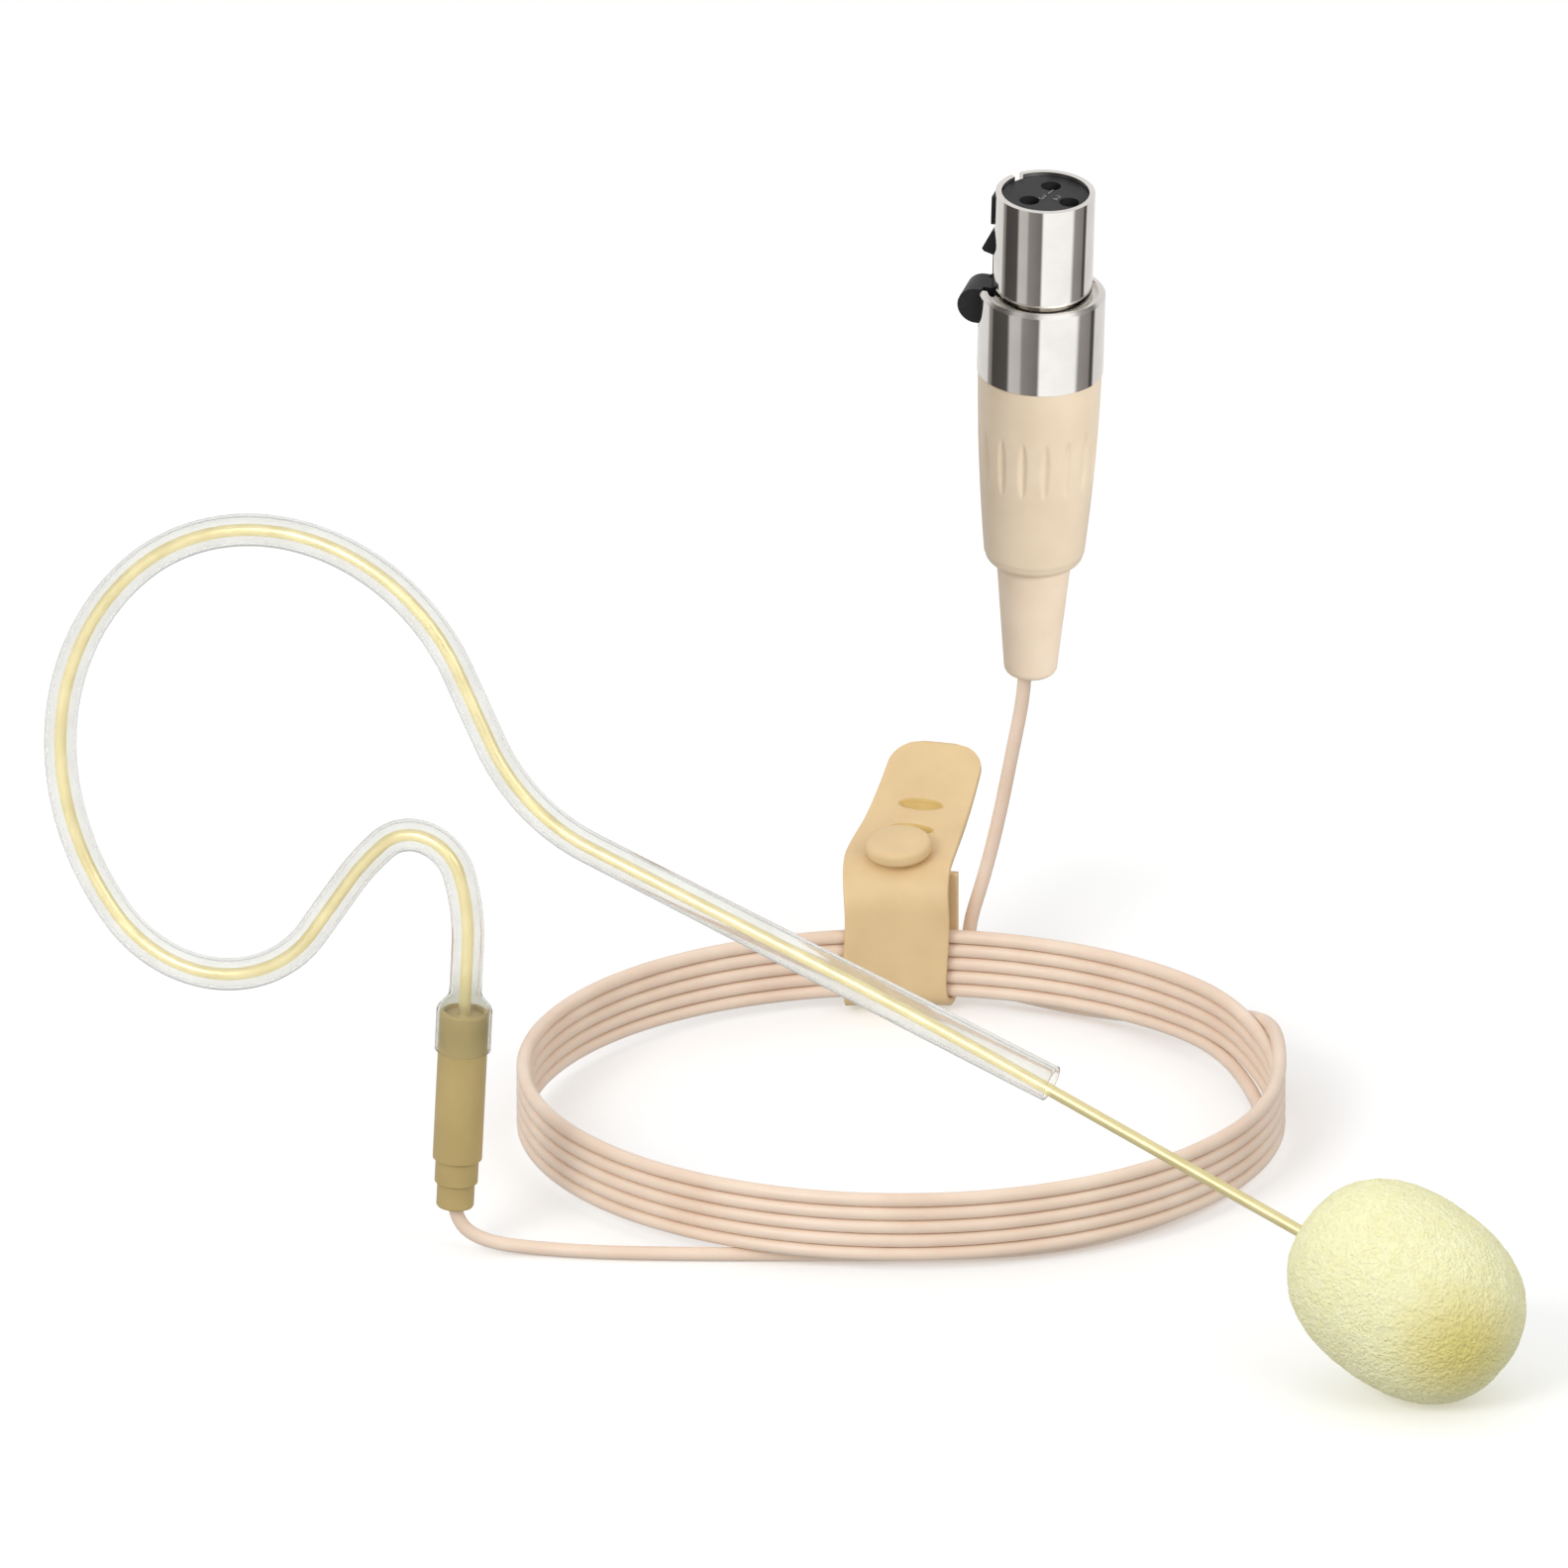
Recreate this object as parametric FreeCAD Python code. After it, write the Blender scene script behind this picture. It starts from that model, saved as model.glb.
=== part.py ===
import FreeCAD, Part
import math
import os

# Headset microphone with an ear hook, a bendable boom, a coiled cord and a small three-pin plug.
# Millimetres, +Z up. The headset lies in the plane Y = 0 and rests on its windscreen at Z = 0,
# with the origin under the middle of the headset. The coiled cord lies behind it, at +Y.

V = FreeCAD.Vector
ORIGIN = V(0, 0, 0)
UP = V(0, 0, 1)

# ---- Headset plane: the centre line from the cord gland to the sleeve's mouth ----
GLAND_FOOT = V(-31.65, 0, 4.6)
BARREL_HEADING = 87.05              # degrees from +X towards +Z
BARREL_RUN = 24.82                  # gland, barrel and the straight sleeve above them
EAR_HOOK = [
    ("arc", 18.8, 20.25),           # sleeve starts to lean back
    ("arc", 4.4, 117.4),            # tight reverse hook over the barrel
    ("arc", 26.5, 11.7),
    ("run", 6.2),
    ("arc", 11.7, -107.6),          # lower end of the ear loop
    ("arc", 24.4, -83.1),           # long side behind the ear
    ("arc", 19.5, -109.3),          # top of the ear loop
    ("run", 6.9),
]
BEND_RADIUS = 17.15                 # S-bend from the loop into the boom
BEND_TURN = 43.8
BEND_GAP = 1.1                      # left free for the boom hinge
BOOM_RUN = 47.0                     # straight sleeve, up to its mouth
DROOP_RUN = 26.0                    # stretch over which the boom tube sinks in its sleeve
DROOP_TURN = -2.6

# ---- Sleeve, tubes and leads ----
SLEEVE_R = 1.45
SLEEVE_BORE_R = 1.15
MOUTH_R = 1.65                      # the sleeve widens towards its mouth
MOUTH_BORE_R = 1.3
WIRE_R = 0.55
WIRE_BORE_R = 0.34
LEAD_R = 0.20

# ---- Splice barrel, measured along its axis from the gland's end face ----
GLAND_R = 1.68
GLAND_TOP = 2.35
BUSH_R = 1.93
BUSH_TOP = 4.6
BARREL_R = 2.2
BARREL_BORE_R = 1.75
BARREL_TOP = 18.6
FLARE_FOOT = 14.9
FLARE_R = 2.5
FLARE_BORE_R = 2.24
SHOULDER_TOP = 20.3

# ---- Capsule and windscreen, measured along the boom from the sleeve's mouth ----
CAPSULE_R = 2.0
CAPSULE_FOOT = 35.0
CAPSULE_TIP = 40.5
FOAM_FOOT = 25.85
FOAM_LENGTH = 22.2
FOAM_R = 9.2
FOAM_TILT = 7.0                     # degrees from the boom's line, nose down
FOAM_BORE_R = 2.3
FOAM_BORE_DEPTH = 15.15

# ---- Cord and coil, in a frame turned about Z and centred on the coil ----
CORD_R = 0.625
CORD_BORE_R = CORD_R + 0.035        # holes that the jacket slides into
COIL_CENTRE = V(-6.1, 41.6, 0)
COIL_TURN = 22.7                    # degrees about +Z
COIL_R = 33.65
COIL_TURNS = 5
COIL_PITCH = 1.27
COIL_FOOT = 1.3                     # the coil lies on the lead at its front and on the tie behind

# The lead from the gland, round the inside of the coil at floor level, into its bottom turn.
HEADSET_LEAD = [
    (-39.63, -28.52, 4.60), (-39.50, -28.52, 3.60), (-38.55, -28.54, 2.10), (-36.30, -28.60, 1.05),
    (-32.60, -28.95, 0.68), (-26.50, -30.00, 0.64), (-16.50, -30.40, 0.64), (-1.00, -30.40, 0.64),
    (13.10, -29.30, 0.64), (22.90, -22.50, 0.70), (29.80, -12.20, 1.00), (32.30, -0.50, 1.60),
    (32.20, 9.80, 1.93),
]

# The lead from the plug's boot, down behind the coil and round its outside, into its top turn.
PLUG_FOOT = (11.60, 33.20, 32.30)
PLUG_LEAD = [
    (11.10, 33.20, 32.30), (11.05, 33.45, 30.10), (10.00, 34.15, 24.30), (8.85, 34.75, 17.90),
    (7.60, 35.15, 12.40), (5.90, 35.40, 6.60), (6.60, 35.25, 3.40), (8.80, 34.55, 1.40),
    (12.00, 33.50, 0.95), (16.20, 31.60, 0.72), (22.40, 27.50, 0.90), (29.00, 20.40, 2.10),
    (33.55, 11.50, 4.20), (35.30, 2.40, 6.20), (34.20, -5.00, 6.90),
]

# ---- Cable tie ----
TIE_ANGLE = 90.2                    # place on the coil, degrees in the coil's frame
TIE_WIDTH = 9.7
TIE_THICKNESS = 0.7
TIE_CLEARANCE = 0.12
TIE_BACK_TOP = 13.6
TIE_FRONT_RUN = 9.3
TIE_BEND_R = 3.5
TIE_TAIL_LEAN = 68.0                # degrees from upright
TIE_TAIL_LENGTH = 14.7
TIE_TAIL_WIDTH = 8.4
TIE_TAIL_YAW = -16.0
TIE_TAIL_CORNER_R = 2.6
TIE_NECK_R = 1.3
TIE_SLOT_PITCH = 3.2
TIE_SLOT_LENGTH = 3.9
TIE_SLOT_WIDTH = 1.5
TIE_BUTTON_R = 3.0
TIE_BUTTON_HEIGHT = 1.4
TIE_BUTTON_EDGE_R = 0.55
TIE_NECK_RISE = 0.15                # gap between the button and the strap
TIE_ROOT = 0.6                      # the tail starts this far inside the strap's bend

# ---- Plug, measured along its axis from the end of its boot; local +X is the latch side ----
PLUG_LEAN_SIDE = 0.027              # the upright plug's axis leans a little to its right
PLUG_LEAN_FRONT = -0.113            # and towards the front
LATCH_SIDE = 165.0                  # degrees in the coil's frame
BOOT_TOP = 11.3
BOOT_FOOT_R = 2.3
BOOT_TOP_R = 3.35
BOOT_NECK_R = 1.9
HANDLE_TOP = 30.3
HANDLE_TOP_R = 5.55
HANDLE_MIDDLE_R = 5.25
HANDLE_FOOT_R = 4.4
FLUTES = 16
FLUTE_LENGTH = 5.7
FLUTE_DEPTH = 0.28
COLLAR_TOP = 38.2
COLLAR_R = 5.65
SPIGOT_R = 4.75
SPIGOT_FOOT = 27.8
NOSE_FOOT = 31.0
NOSE_TOP = 47.9
NOSE_R = 4.45
NOSE_BORE_R = 3.93
INSERT_R = 3.88
INSERT_TOP = 47.5
PIN_CIRCLE_R = 2.05
PIN_CIRCLE_SHIFT = 0.4              # the pin circle stands off the latch by this much
PIN_HOLE_R = 0.9
CONTACT_R = 0.86
CONTACT_BORE_R = 0.55
CUP_FOOT = 31.6                     # solder cup of each contact
LATCH_PIN_X = 4.0
LATCH_PIN_Z = 32.4
LATCH_PIN_R = 0.3
LATCH_HALF_WIDTH = 1.0
SLOT_HALF_WIDTH = 1.15
TOOTH_TOP = 43.8
TOOTH_Z = 41.9
TOOTH_R = 5.45
BUTTON_FOOT = 34.75
BUTTON_TOP = 38.1
BUTTON_BACK = 5.2                   # clears the nose when the latch is pressed
BUTTON_X = 5.7
BUTTON_HALF_WIDTH = 1.65
SPRING_POCKET_R = 0.7
WINDOW_FOOT = 34.4
WINDOW_HALF_WIDTH = 1.95
CLAMP_FOOT = 13.5
CLAMP_TOP = 17.5
JACKET_TOP = 18.0
JACKET_SHIFT = 0.5                  # the cord lies towards one side of its boot
JACKET_SIDE = 15.0                  # degrees from the latch
CONDUCTOR_R = 0.22


# ---- Shapes used by several pieces ----

def heading_vector(degrees):
    """Unit vector in the plane Y = 0."""
    angle = math.radians(degrees)
    return V(math.cos(angle), 0, math.sin(angle))


def plane_path(start, heading, steps):
    """Runs and tangent arcs in a plane Y = constant: the wire, its end and its end heading."""
    edges = []
    point = start
    for step in steps:
        if step[0] == "run":
            target = point + heading_vector(heading) * step[1]
            edges.append(Part.LineSegment(point, target).toShape())
        else:
            radius, turn = step[1:]
            side = math.copysign(90, turn)
            centre = point + heading_vector(heading + side) * radius
            middle = centre + heading_vector(heading - side + turn / 2) * radius
            target = centre + heading_vector(heading - side + turn) * radius
            edges.append(Part.Arc(point, middle, target).toShape())
            heading += turn
        point = target
    return Part.Wire(edges), point, heading


def rounded_route(points, report=None):
    """Straight runs with a tangent arc at each inner point, as large as the runs allow."""
    edges = []
    radii = []
    last = points[0]
    for before, corner, after in zip(points, points[1:], points[2:]):
        inward = (before - corner).normalize()
        outward = (after - corner).normalize()
        half_turn = (math.pi - inward.getAngle(outward)) / 2
        shorter = min(corner.distanceToPoint(before), corner.distanceToPoint(after))
        reach = 0.45 * shorter
        radius = reach / math.tan(half_turn)
        arc_start = corner + inward * reach
        arc_end = corner + outward * reach
        middle_reach = radius / math.cos(half_turn) - radius
        arc_middle = corner + (inward + outward).normalize() * middle_reach
        edges.append(Part.LineSegment(last, arc_start).toShape())
        edges.append(Part.Arc(arc_start, arc_middle, arc_end).toShape())
        radii.append(round(radius, 1))
        last = arc_end
    edges.append(Part.LineSegment(last, points[-1]).toShape())
    if report:
        print(report, "radii in mm:", radii)
    return Part.Wire(edges)


def tube(wire, radius, bore=0):
    """A round bar or tube along a smooth wire."""
    first = wire.Edges[0]
    start = first.valueAt(first.FirstParameter)
    tangent = first.tangentAt(first.FirstParameter)
    section = Part.Face(Part.Wire(Part.makeCircle(radius, start, tangent)))
    if bore:
        section = section.cut(Part.Face(Part.Wire(Part.makeCircle(bore, start, tangent)))).Faces[0]
    return wire.makePipe(section)


def turned(outline):
    """A solid of revolution about Z from (radius, height) points joined by straight lines."""
    corners = [V(radius, 0, height) for radius, height in outline]
    face = Part.Face(Part.makePolygon(corners + corners[:1]))
    return face.revolve(ORIGIN, UP, 360)


def ring(outer, inner, foot, top):
    """A round collar about Z; an inner radius of 0 makes a plain cylinder."""
    solid = Part.makeCylinder(outer, top - foot, V(0, 0, foot))
    if inner:
        solid = solid.cut(Part.makeCylinder(inner, top - foot, V(0, 0, foot)))
    return solid


def block(x_range, y_half, z_range):
    """A box that is symmetric about Y = 0."""
    size = (x_range[1] - x_range[0], 2 * y_half, z_range[1] - z_range[0])
    return Part.makeBox(*size, V(x_range[0], -y_half, z_range[0]))


def prism(outline, half_width):
    """A flat piece of outline (x, z), as thick as twice half_width, across Y."""
    corners = [V(x, -half_width, z) for x, z in outline]
    face = Part.Face(Part.makePolygon(corners + corners[:1]))
    return face.extrude(V(0, 2 * half_width, 0))


def polar(radius, degrees, height=0):
    angle = math.radians(degrees)
    return V(radius * math.cos(angle), radius * math.sin(angle), height)


def ribbon(start, heading, steps, thickness):
    """A strip of even thickness along a path in the plane Y = 0, as a flat face."""
    sides = []
    for side in (1, -1):
        offset = side * thickness / 2
        shifted = []
        for step in steps:
            if step[0] == "arc":
                step = ("arc", step[1] - math.copysign(1, step[2]) * offset, step[2])
            shifted.append(step)
        sides.append(plane_path(start + heading_vector(heading + 90) * offset, heading, shifted))
    (left, left_end, _), (right, right_end, _) = sides
    across = heading_vector(heading + 90) * thickness / 2
    caps = [Part.LineSegment(left_end, right_end), Part.LineSegment(start + across, start - across)]
    edges = left.Edges + right.Edges + [cap.toShape() for cap in caps]
    return Part.Face(Part.Wire(Part.__sortEdges__(edges)))


# ---- Frames ----

COIL_FRAME = FreeCAD.Placement(COIL_CENTRE, FreeCAD.Rotation(UP, COIL_TURN))
TIE_FRAME = COIL_FRAME * FreeCAD.Placement(ORIGIN, FreeCAD.Rotation(UP, TIE_ANGLE))

PLUG_AXIS = V(PLUG_LEAN_SIDE, PLUG_LEAN_FRONT, 1).normalize()
PLUG_FRAME = COIL_FRAME * FreeCAD.Placement(
    V(*PLUG_FOOT), FreeCAD.Rotation(polar(1, LATCH_SIDE), ORIGIN, PLUG_AXIS, "ZXY"))

# The barrel's frame has +Z along its axis, and so does the capsule's.
BARREL_FRAME = FreeCAD.Placement(GLAND_FOOT, FreeCAD.Rotation(UP, heading_vector(BARREL_HEADING)))

HALF_BEND = ("arc", BEND_RADIUS, BEND_TURN / 2)
GAP_TURN = math.degrees(BEND_GAP / BEND_RADIUS)
EAR_PATH = [("run", BARREL_RUN)] + EAR_HOOK + [HALF_BEND]
_, BEND_POINT, BEND_HEADING = plane_path(GLAND_FOOT, BARREL_HEADING, EAR_PATH)
_, BOOM_START, BOOM_HEADING = plane_path(BEND_POINT, BEND_HEADING, [("arc", BEND_RADIUS, GAP_TURN)])

DROOP = ("arc", DROOP_RUN / math.radians(-DROOP_TURN), DROOP_TURN)
BOOM_BEND = ("arc", BEND_RADIUS, BEND_TURN / 2 - GAP_TURN)
BOOM_TUBE_PATH = [BOOM_BEND, ("run", BOOM_RUN - DROOP_RUN), DROOP]
_, TUBE_MOUTH, TIP_HEADING = plane_path(BOOM_START, BOOM_HEADING, BOOM_TUBE_PATH)
TIP_FRAME = FreeCAD.Placement(TUBE_MOUTH, FreeCAD.Rotation(UP, heading_vector(TIP_HEADING)))


def placed(solids, frame):
    """The same named solids, put in their place."""
    for solid in solids.values():
        solid.Placement = frame * solid.Placement
    return solids


# ---- Headset ----

def ear_hook():
    """Sleeve, spring tube and lead from the barrel to the hinge in the S-bend."""
    top = GLAND_FOOT + heading_vector(BARREL_HEADING) * SHOULDER_TOP
    above = [("run", BARREL_RUN - SHOULDER_TOP)] + EAR_HOOK + [HALF_BEND]
    sleeve = tube(plane_path(top, BARREL_HEADING, above)[0], SLEEVE_R, SLEEVE_BORE_R)
    flare = turned([
        (FLARE_BORE_R, FLARE_FOOT), (FLARE_R, FLARE_FOOT), (FLARE_R, BARREL_TOP + 0.2),
        (SLEEVE_R, SHOULDER_TOP), (SLEEVE_BORE_R, SHOULDER_TOP), (FLARE_BORE_R, BARREL_TOP + 0.1),
    ])
    flare.Placement = BARREL_FRAME
    sleeve = sleeve.fuse(flare).removeSplitter()

    def inner(foot, radius, bore=0):
        start = GLAND_FOOT + heading_vector(BARREL_HEADING) * foot
        steps = [("run", BARREL_RUN - foot)] + EAR_HOOK + [HALF_BEND]
        return tube(plane_path(start, BARREL_HEADING, steps)[0], radius, bore)

    return {
        "ear_hook_sleeve": sleeve,
        "ear_hook_tube": inner(14.0, WIRE_R, WIRE_BORE_R),
        "ear_hook_lead": inner(10.6, LEAD_R),
    }


def splice_barrel():
    """Barrel, its end bush and cord gland, and what they hold inside."""
    shell = ring(BARREL_R, BARREL_BORE_R, BUSH_TOP, BARREL_TOP)
    chamfered = [edge for edge in shell.Edges if abs(edge.BoundBox.ZMin - BARREL_TOP) < 0.01]
    shell = shell.makeChamfer(0.2, [edge for edge in chamfered if edge.Curve.Radius > 2])
    bush = turned([
        (1.15, GLAND_TOP), (BUSH_R, GLAND_TOP), (BUSH_R, BUSH_TOP), (1.72, BUSH_TOP),
        (1.72, BUSH_TOP + 1.6), (1.15, BUSH_TOP + 1.6),
    ])
    gland = turned([
        (CORD_BORE_R, 0), (GLAND_R - 0.1, 0), (GLAND_R, 0.15), (GLAND_R, GLAND_TOP), (1.12, GLAND_TOP),
        (1.12, GLAND_TOP + 1.3), (CORD_BORE_R, GLAND_TOP + 1.3),
    ])
    return placed({
        "splice_barrel": shell,
        "barrel_ferrule": ring(1.72, WIRE_R + 0.03, 15.6, 18.2),
        "splice_crimp": ring(1.05, CORD_BORE_R, 7.6, 12.4),
        "barrel_bush": bush,
        "cord_gland": gland,
        "gland_jacket_end": ring(CORD_R, 0, 0, 9.6),
    }, BARREL_FRAME)


def boom():
    """Sleeve, tube and lead from the hinge to the capsule."""
    bend_path, run_start, run_heading = plane_path(BOOM_START, BOOM_HEADING, [BOOM_BEND])
    sleeve = turned([
        (SLEEVE_BORE_R, 0), (SLEEVE_R, 0), (MOUTH_R, BOOM_RUN), (MOUTH_BORE_R, BOOM_RUN),
    ])
    sleeve.Placement = FreeCAD.Placement(run_start, FreeCAD.Rotation(UP, heading_vector(run_heading)))
    sleeve = sleeve.fuse(tube(bend_path, SLEEVE_R, SLEEVE_BORE_R)).removeSplitter()
    to_holder = plane_path(BOOM_START, BOOM_HEADING, BOOM_TUBE_PATH + [("run", 34.6)])[0]
    to_board = plane_path(BOOM_START, BOOM_HEADING, BOOM_TUBE_PATH + [("run", 36.2)])[0]
    return {
        "boom_sleeve": sleeve,
        "boom_tube": tube(to_holder, WIRE_R, WIRE_BORE_R),
        "boom_lead": tube(to_board, LEAD_R),
    }


def capsule():
    """The electret capsule at the boom's tip and its holder."""
    can = ring(CAPSULE_R, 1.85, CAPSULE_FOOT, CAPSULE_TIP)
    can = can.fuse(ring(1.9, 1.22, CAPSULE_FOOT, CAPSULE_FOOT + 0.2)).removeSplitter()
    grille = ring(1.82, 0, 39.9, 40.15)
    grille = grille.cut(ring(0.25, 0, 39.8, 40.3))
    for index in range(6):
        hole = ring(0.25, 0, 39.8, 40.3)
        hole.translate(polar(1.05, 60 * index))
        grille = grille.cut(hole)
    backplate = ring(1.55, 0, 38.35, 38.8)
    for index in range(4):
        hole = ring(0.2, 0, 38.3, 38.9)
        hole.translate(polar(0.8, 90 * index + 45))
        backplate = backplate.cut(hole)
    return placed({
        "capsule_can": can,
        "capsule_grille": grille,
        "capsule_diaphragm": ring(1.82, 0, 39.1, 39.18),
        "capsule_backplate": backplate,
        "capsule_spacer": ring(1.82, 1.6, 36.75, 39.0),
        "capsule_board": ring(1.8, 0, 36.3, 36.7),
        "capsule_transistor": Part.makeBox(1.3, 0.9, 0.5, V(-0.65, -0.45, 36.75)),
        "capsule_holder": ring(1.18, WIRE_R + 0.03, 33.0, 36.0),
    }, TIP_FRAME)


def windscreen():
    """Egg-shaped foam, blind bore towards the boom."""
    middle = V(0, 0, FOAM_FOOT + FOAM_LENGTH / 2)
    tip = middle + UP * FOAM_LENGTH / 2
    foot = middle - UP * FOAM_LENGTH / 2
    ellipse = Part.Ellipse(tip, middle + V(FOAM_R, 0, 0), middle)
    side = Part.ArcOfEllipse(ellipse, 0, math.pi).toShape()
    outline = Part.Wire([side, Part.LineSegment(foot, tip).toShape()])
    foam = Part.Face(outline).revolve(ORIGIN, UP, 360)
    foam.rotate(middle, V(0, 1, 0), FOAM_TILT)
    foam = foam.cut(ring(FOAM_BORE_R, 0, FOAM_FOOT - 1, FOAM_FOOT + FOAM_BORE_DEPTH))
    return placed({"foam_windscreen": foam}, TIP_FRAME)


# ---- Cord ----

def cord():
    """Both leads and the closed shape of the coil between them."""
    leads = {}
    for name, route in (("cord_headset_lead", HEADSET_LEAD), ("cord_plug_lead", PLUG_LEAD)):
        points = [COIL_FRAME.multVec(V(*point)) for point in route]
        wire = rounded_route(points, name)
        leads[name] = tube(wire, CORD_R)
        expected = wire.Length * math.pi * CORD_R ** 2
        print(name, "length", round(wire.Length, 1), "volume ratio", round(leads[name].Volume / expected, 3))
    low = COIL_FOOT + CORD_R
    high = low + (COIL_TURNS - 1) * COIL_PITCH
    inner, outer = COIL_R - CORD_R, COIL_R + CORD_R
    outline = [
        Part.LineSegment(V(outer, 0, low), V(outer, 0, high)),
        Part.Arc(V(outer, 0, high), V(COIL_R, 0, high + CORD_R), V(inner, 0, high)),
        Part.LineSegment(V(inner, 0, high), V(inner, 0, low)),
        Part.Arc(V(inner, 0, low), V(COIL_R, 0, low - CORD_R), V(outer, 0, low)),
    ]
    section = Part.Face(Part.Wire([edge.toShape() for edge in outline]))
    coil = section.revolve(ORIGIN, UP, 360)
    coil.Placement = COIL_FRAME
    return {**leads, "cord_coil": coil}


def tie_slot(middle):
    """Cutter for one round-ended slot across the tail."""
    reach = (TIE_SLOT_LENGTH - TIE_SLOT_WIDTH) / 2
    slot = Part.makeBox(TIE_SLOT_WIDTH, 2 * reach, 4, V(middle - TIE_SLOT_WIDTH / 2, -reach, -2))
    for side in (-reach, reach):
        slot = slot.fuse(Part.makeCylinder(TIE_SLOT_WIDTH / 2, 4, V(middle, side, -2)))
    return slot


def cable_tie():
    """Strap round the coil, buttoned through its own tail, in one piece."""
    gap = CORD_R + TIE_CLEARANCE + TIE_THICKNESS / 2
    low = COIL_FOOT + CORD_R
    band = [
        ("run", TIE_BACK_TOP - low), ("arc", gap, -180), ("run", TIE_FRONT_RUN),
        ("arc", TIE_BEND_R, -TIE_TAIL_LEAN),
    ]
    section = ribbon(V(COIL_R + gap, 0, TIE_BACK_TOP), -90, band, TIE_THICKNESS)
    sweep_angle = math.degrees(TIE_WIDTH / COIL_R)
    strap = section.revolve(ORIGIN, UP, sweep_angle)
    strap.rotate(ORIGIN, UP, -sweep_angle / 2)

    bend_end = plane_path(V(COIL_R + gap, 0, TIE_BACK_TOP), -90, band)[1]
    half_thickness = TIE_THICKNESS / 2
    tail = block((-TIE_ROOT, TIE_TAIL_LENGTH), TIE_TAIL_WIDTH / 2, (-half_thickness, half_thickness))
    corners = [edge for edge in tail.Edges if edge.BoundBox.XMin > 0 and edge.BoundBox.ZLength > 0.1]
    tail = tail.makeFillet(TIE_TAIL_CORNER_R, [edge for edge in corners if edge.BoundBox.YLength < 0.1])
    for index in (1, 2):
        tail = tail.cut(tie_slot(index * TIE_SLOT_PITCH))
    button = Part.makeCylinder(TIE_BUTTON_R, TIE_BUTTON_HEIGHT, V(0, 0, half_thickness + TIE_NECK_RISE))
    rims = [edge for edge in button.Edges if edge.BoundBox.ZLength < 0.01]
    button = button.makeFillet(TIE_BUTTON_EDGE_R, rims)
    neck = Part.makeCylinder(TIE_NECK_R, 4 * half_thickness, V(0, 0, -half_thickness))
    tail = tail.fuse([button, neck]).removeSplitter()
    tail.rotate(ORIGIN, V(0, 1, 0), TIE_TAIL_LEAN - 90)
    tail.rotate(ORIGIN, UP, TIE_TAIL_YAW)
    tail.translate(bend_end)
    return placed({"cable_tie": strap.fuse(tail).removeSplitter()}, TIE_FRAME)


# ---- Plug ----

def pin_places():
    """Angles round the pin circle, from the latch, and the centre of that circle."""
    centre = V(-PIN_CIRCLE_SHIFT, 0, 0)
    return [centre + polar(PIN_CIRCLE_R, angle) for angle in (-78, 162, 42)]


def plug_shell():
    """Nose tube and collar, with the latch's slot and window."""
    nose = ring(NOSE_R, NOSE_BORE_R, NOSE_FOOT, NOSE_TOP)
    nose = nose.cut(block((3, 6), SLOT_HALF_WIDTH, (NOSE_FOOT - 1, NOSE_TOP - 0.6)))
    keyway = block((3, 6), 0.45, (NOSE_TOP - 1.2, NOSE_TOP + 1))
    keyway.rotate(ORIGIN, UP, -38)
    nose = nose.cut(keyway)
    collar = turned([
        (3.6, SPIGOT_FOOT), (SPIGOT_R, SPIGOT_FOOT), (SPIGOT_R, HANDLE_TOP), (COLLAR_R, HANDLE_TOP),
        (COLLAR_R, COLLAR_TOP - 0.3), (COLLAR_R - 0.3, COLLAR_TOP), (5.0, COLLAR_TOP),
        (4.9, COLLAR_TOP - 0.5), (NOSE_R + 0.02, COLLAR_TOP - 0.5), (NOSE_R + 0.02, NOSE_FOOT),
        (3.6, NOSE_FOOT),
    ])
    collar = collar.cut(block((3, 7), WINDOW_HALF_WIDTH, (WINDOW_FOOT, COLLAR_TOP + 1)))
    collar = collar.cut(block((3, 5.1), SLOT_HALF_WIDTH, (NOSE_FOOT, WINDOW_FOOT + 1)))
    pin_hole = Part.makeCylinder(LATCH_PIN_R, 6, V(LATCH_PIN_X, -3, LATCH_PIN_Z), V(0, 1, 0))
    pocket = Part.makeCylinder(SPRING_POCKET_R, 1.0, V(LATCH_PIN_X, -2.05, LATCH_PIN_Z), V(0, 1, 0))
    return {"plug_nose": nose.cut([pin_hole, pocket]), "plug_collar": collar.cut([pin_hole, pocket])}


def plug_core():
    """Insulating insert, its three contacts and the wires behind them."""
    insert = ring(INSERT_R, 0, 35.0, INSERT_TOP)
    insert = insert.cut(block((2.35, 5), 1.3, (34, TOOTH_TOP + 0.3)))
    key = block((3.3, NOSE_R + 0.25), 0.95, (TOOTH_TOP + 0.6, NOSE_TOP - 0.8))
    insert = insert.fuse(key).removeSplitter()
    solids = {}
    for number, place in enumerate(pin_places(), start=1):
        hole = ring(PIN_HOLE_R, 0, 34, INSERT_TOP + 1)
        hole.translate(place)
        insert = insert.cut(hole)
        contact = ring(CONTACT_R, 0, 34.6, INSERT_TOP - 1.1).fuse(ring(0.5, 0, CUP_FOOT, 34.8))
        contact = contact.cut(ring(CONTACT_BORE_R, 0, 38.0, INSERT_TOP)).removeSplitter()
        contact.translate(place)
        solids["contact_" + str(number)] = contact
        start = V(place.x, place.y, 0).normalize() * 1.25 * CONDUCTOR_R + polar(JACKET_SHIFT, JACKET_SIDE)
        route = [start + UP * JACKET_TOP, start + UP * 20.5, place + UP * 28.5, place + UP * CUP_FOOT]
        solids["conductor_" + str(number)] = tube(rounded_route(route), CONDUCTOR_R)
    solids["plug_insert"] = insert
    return solids


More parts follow.
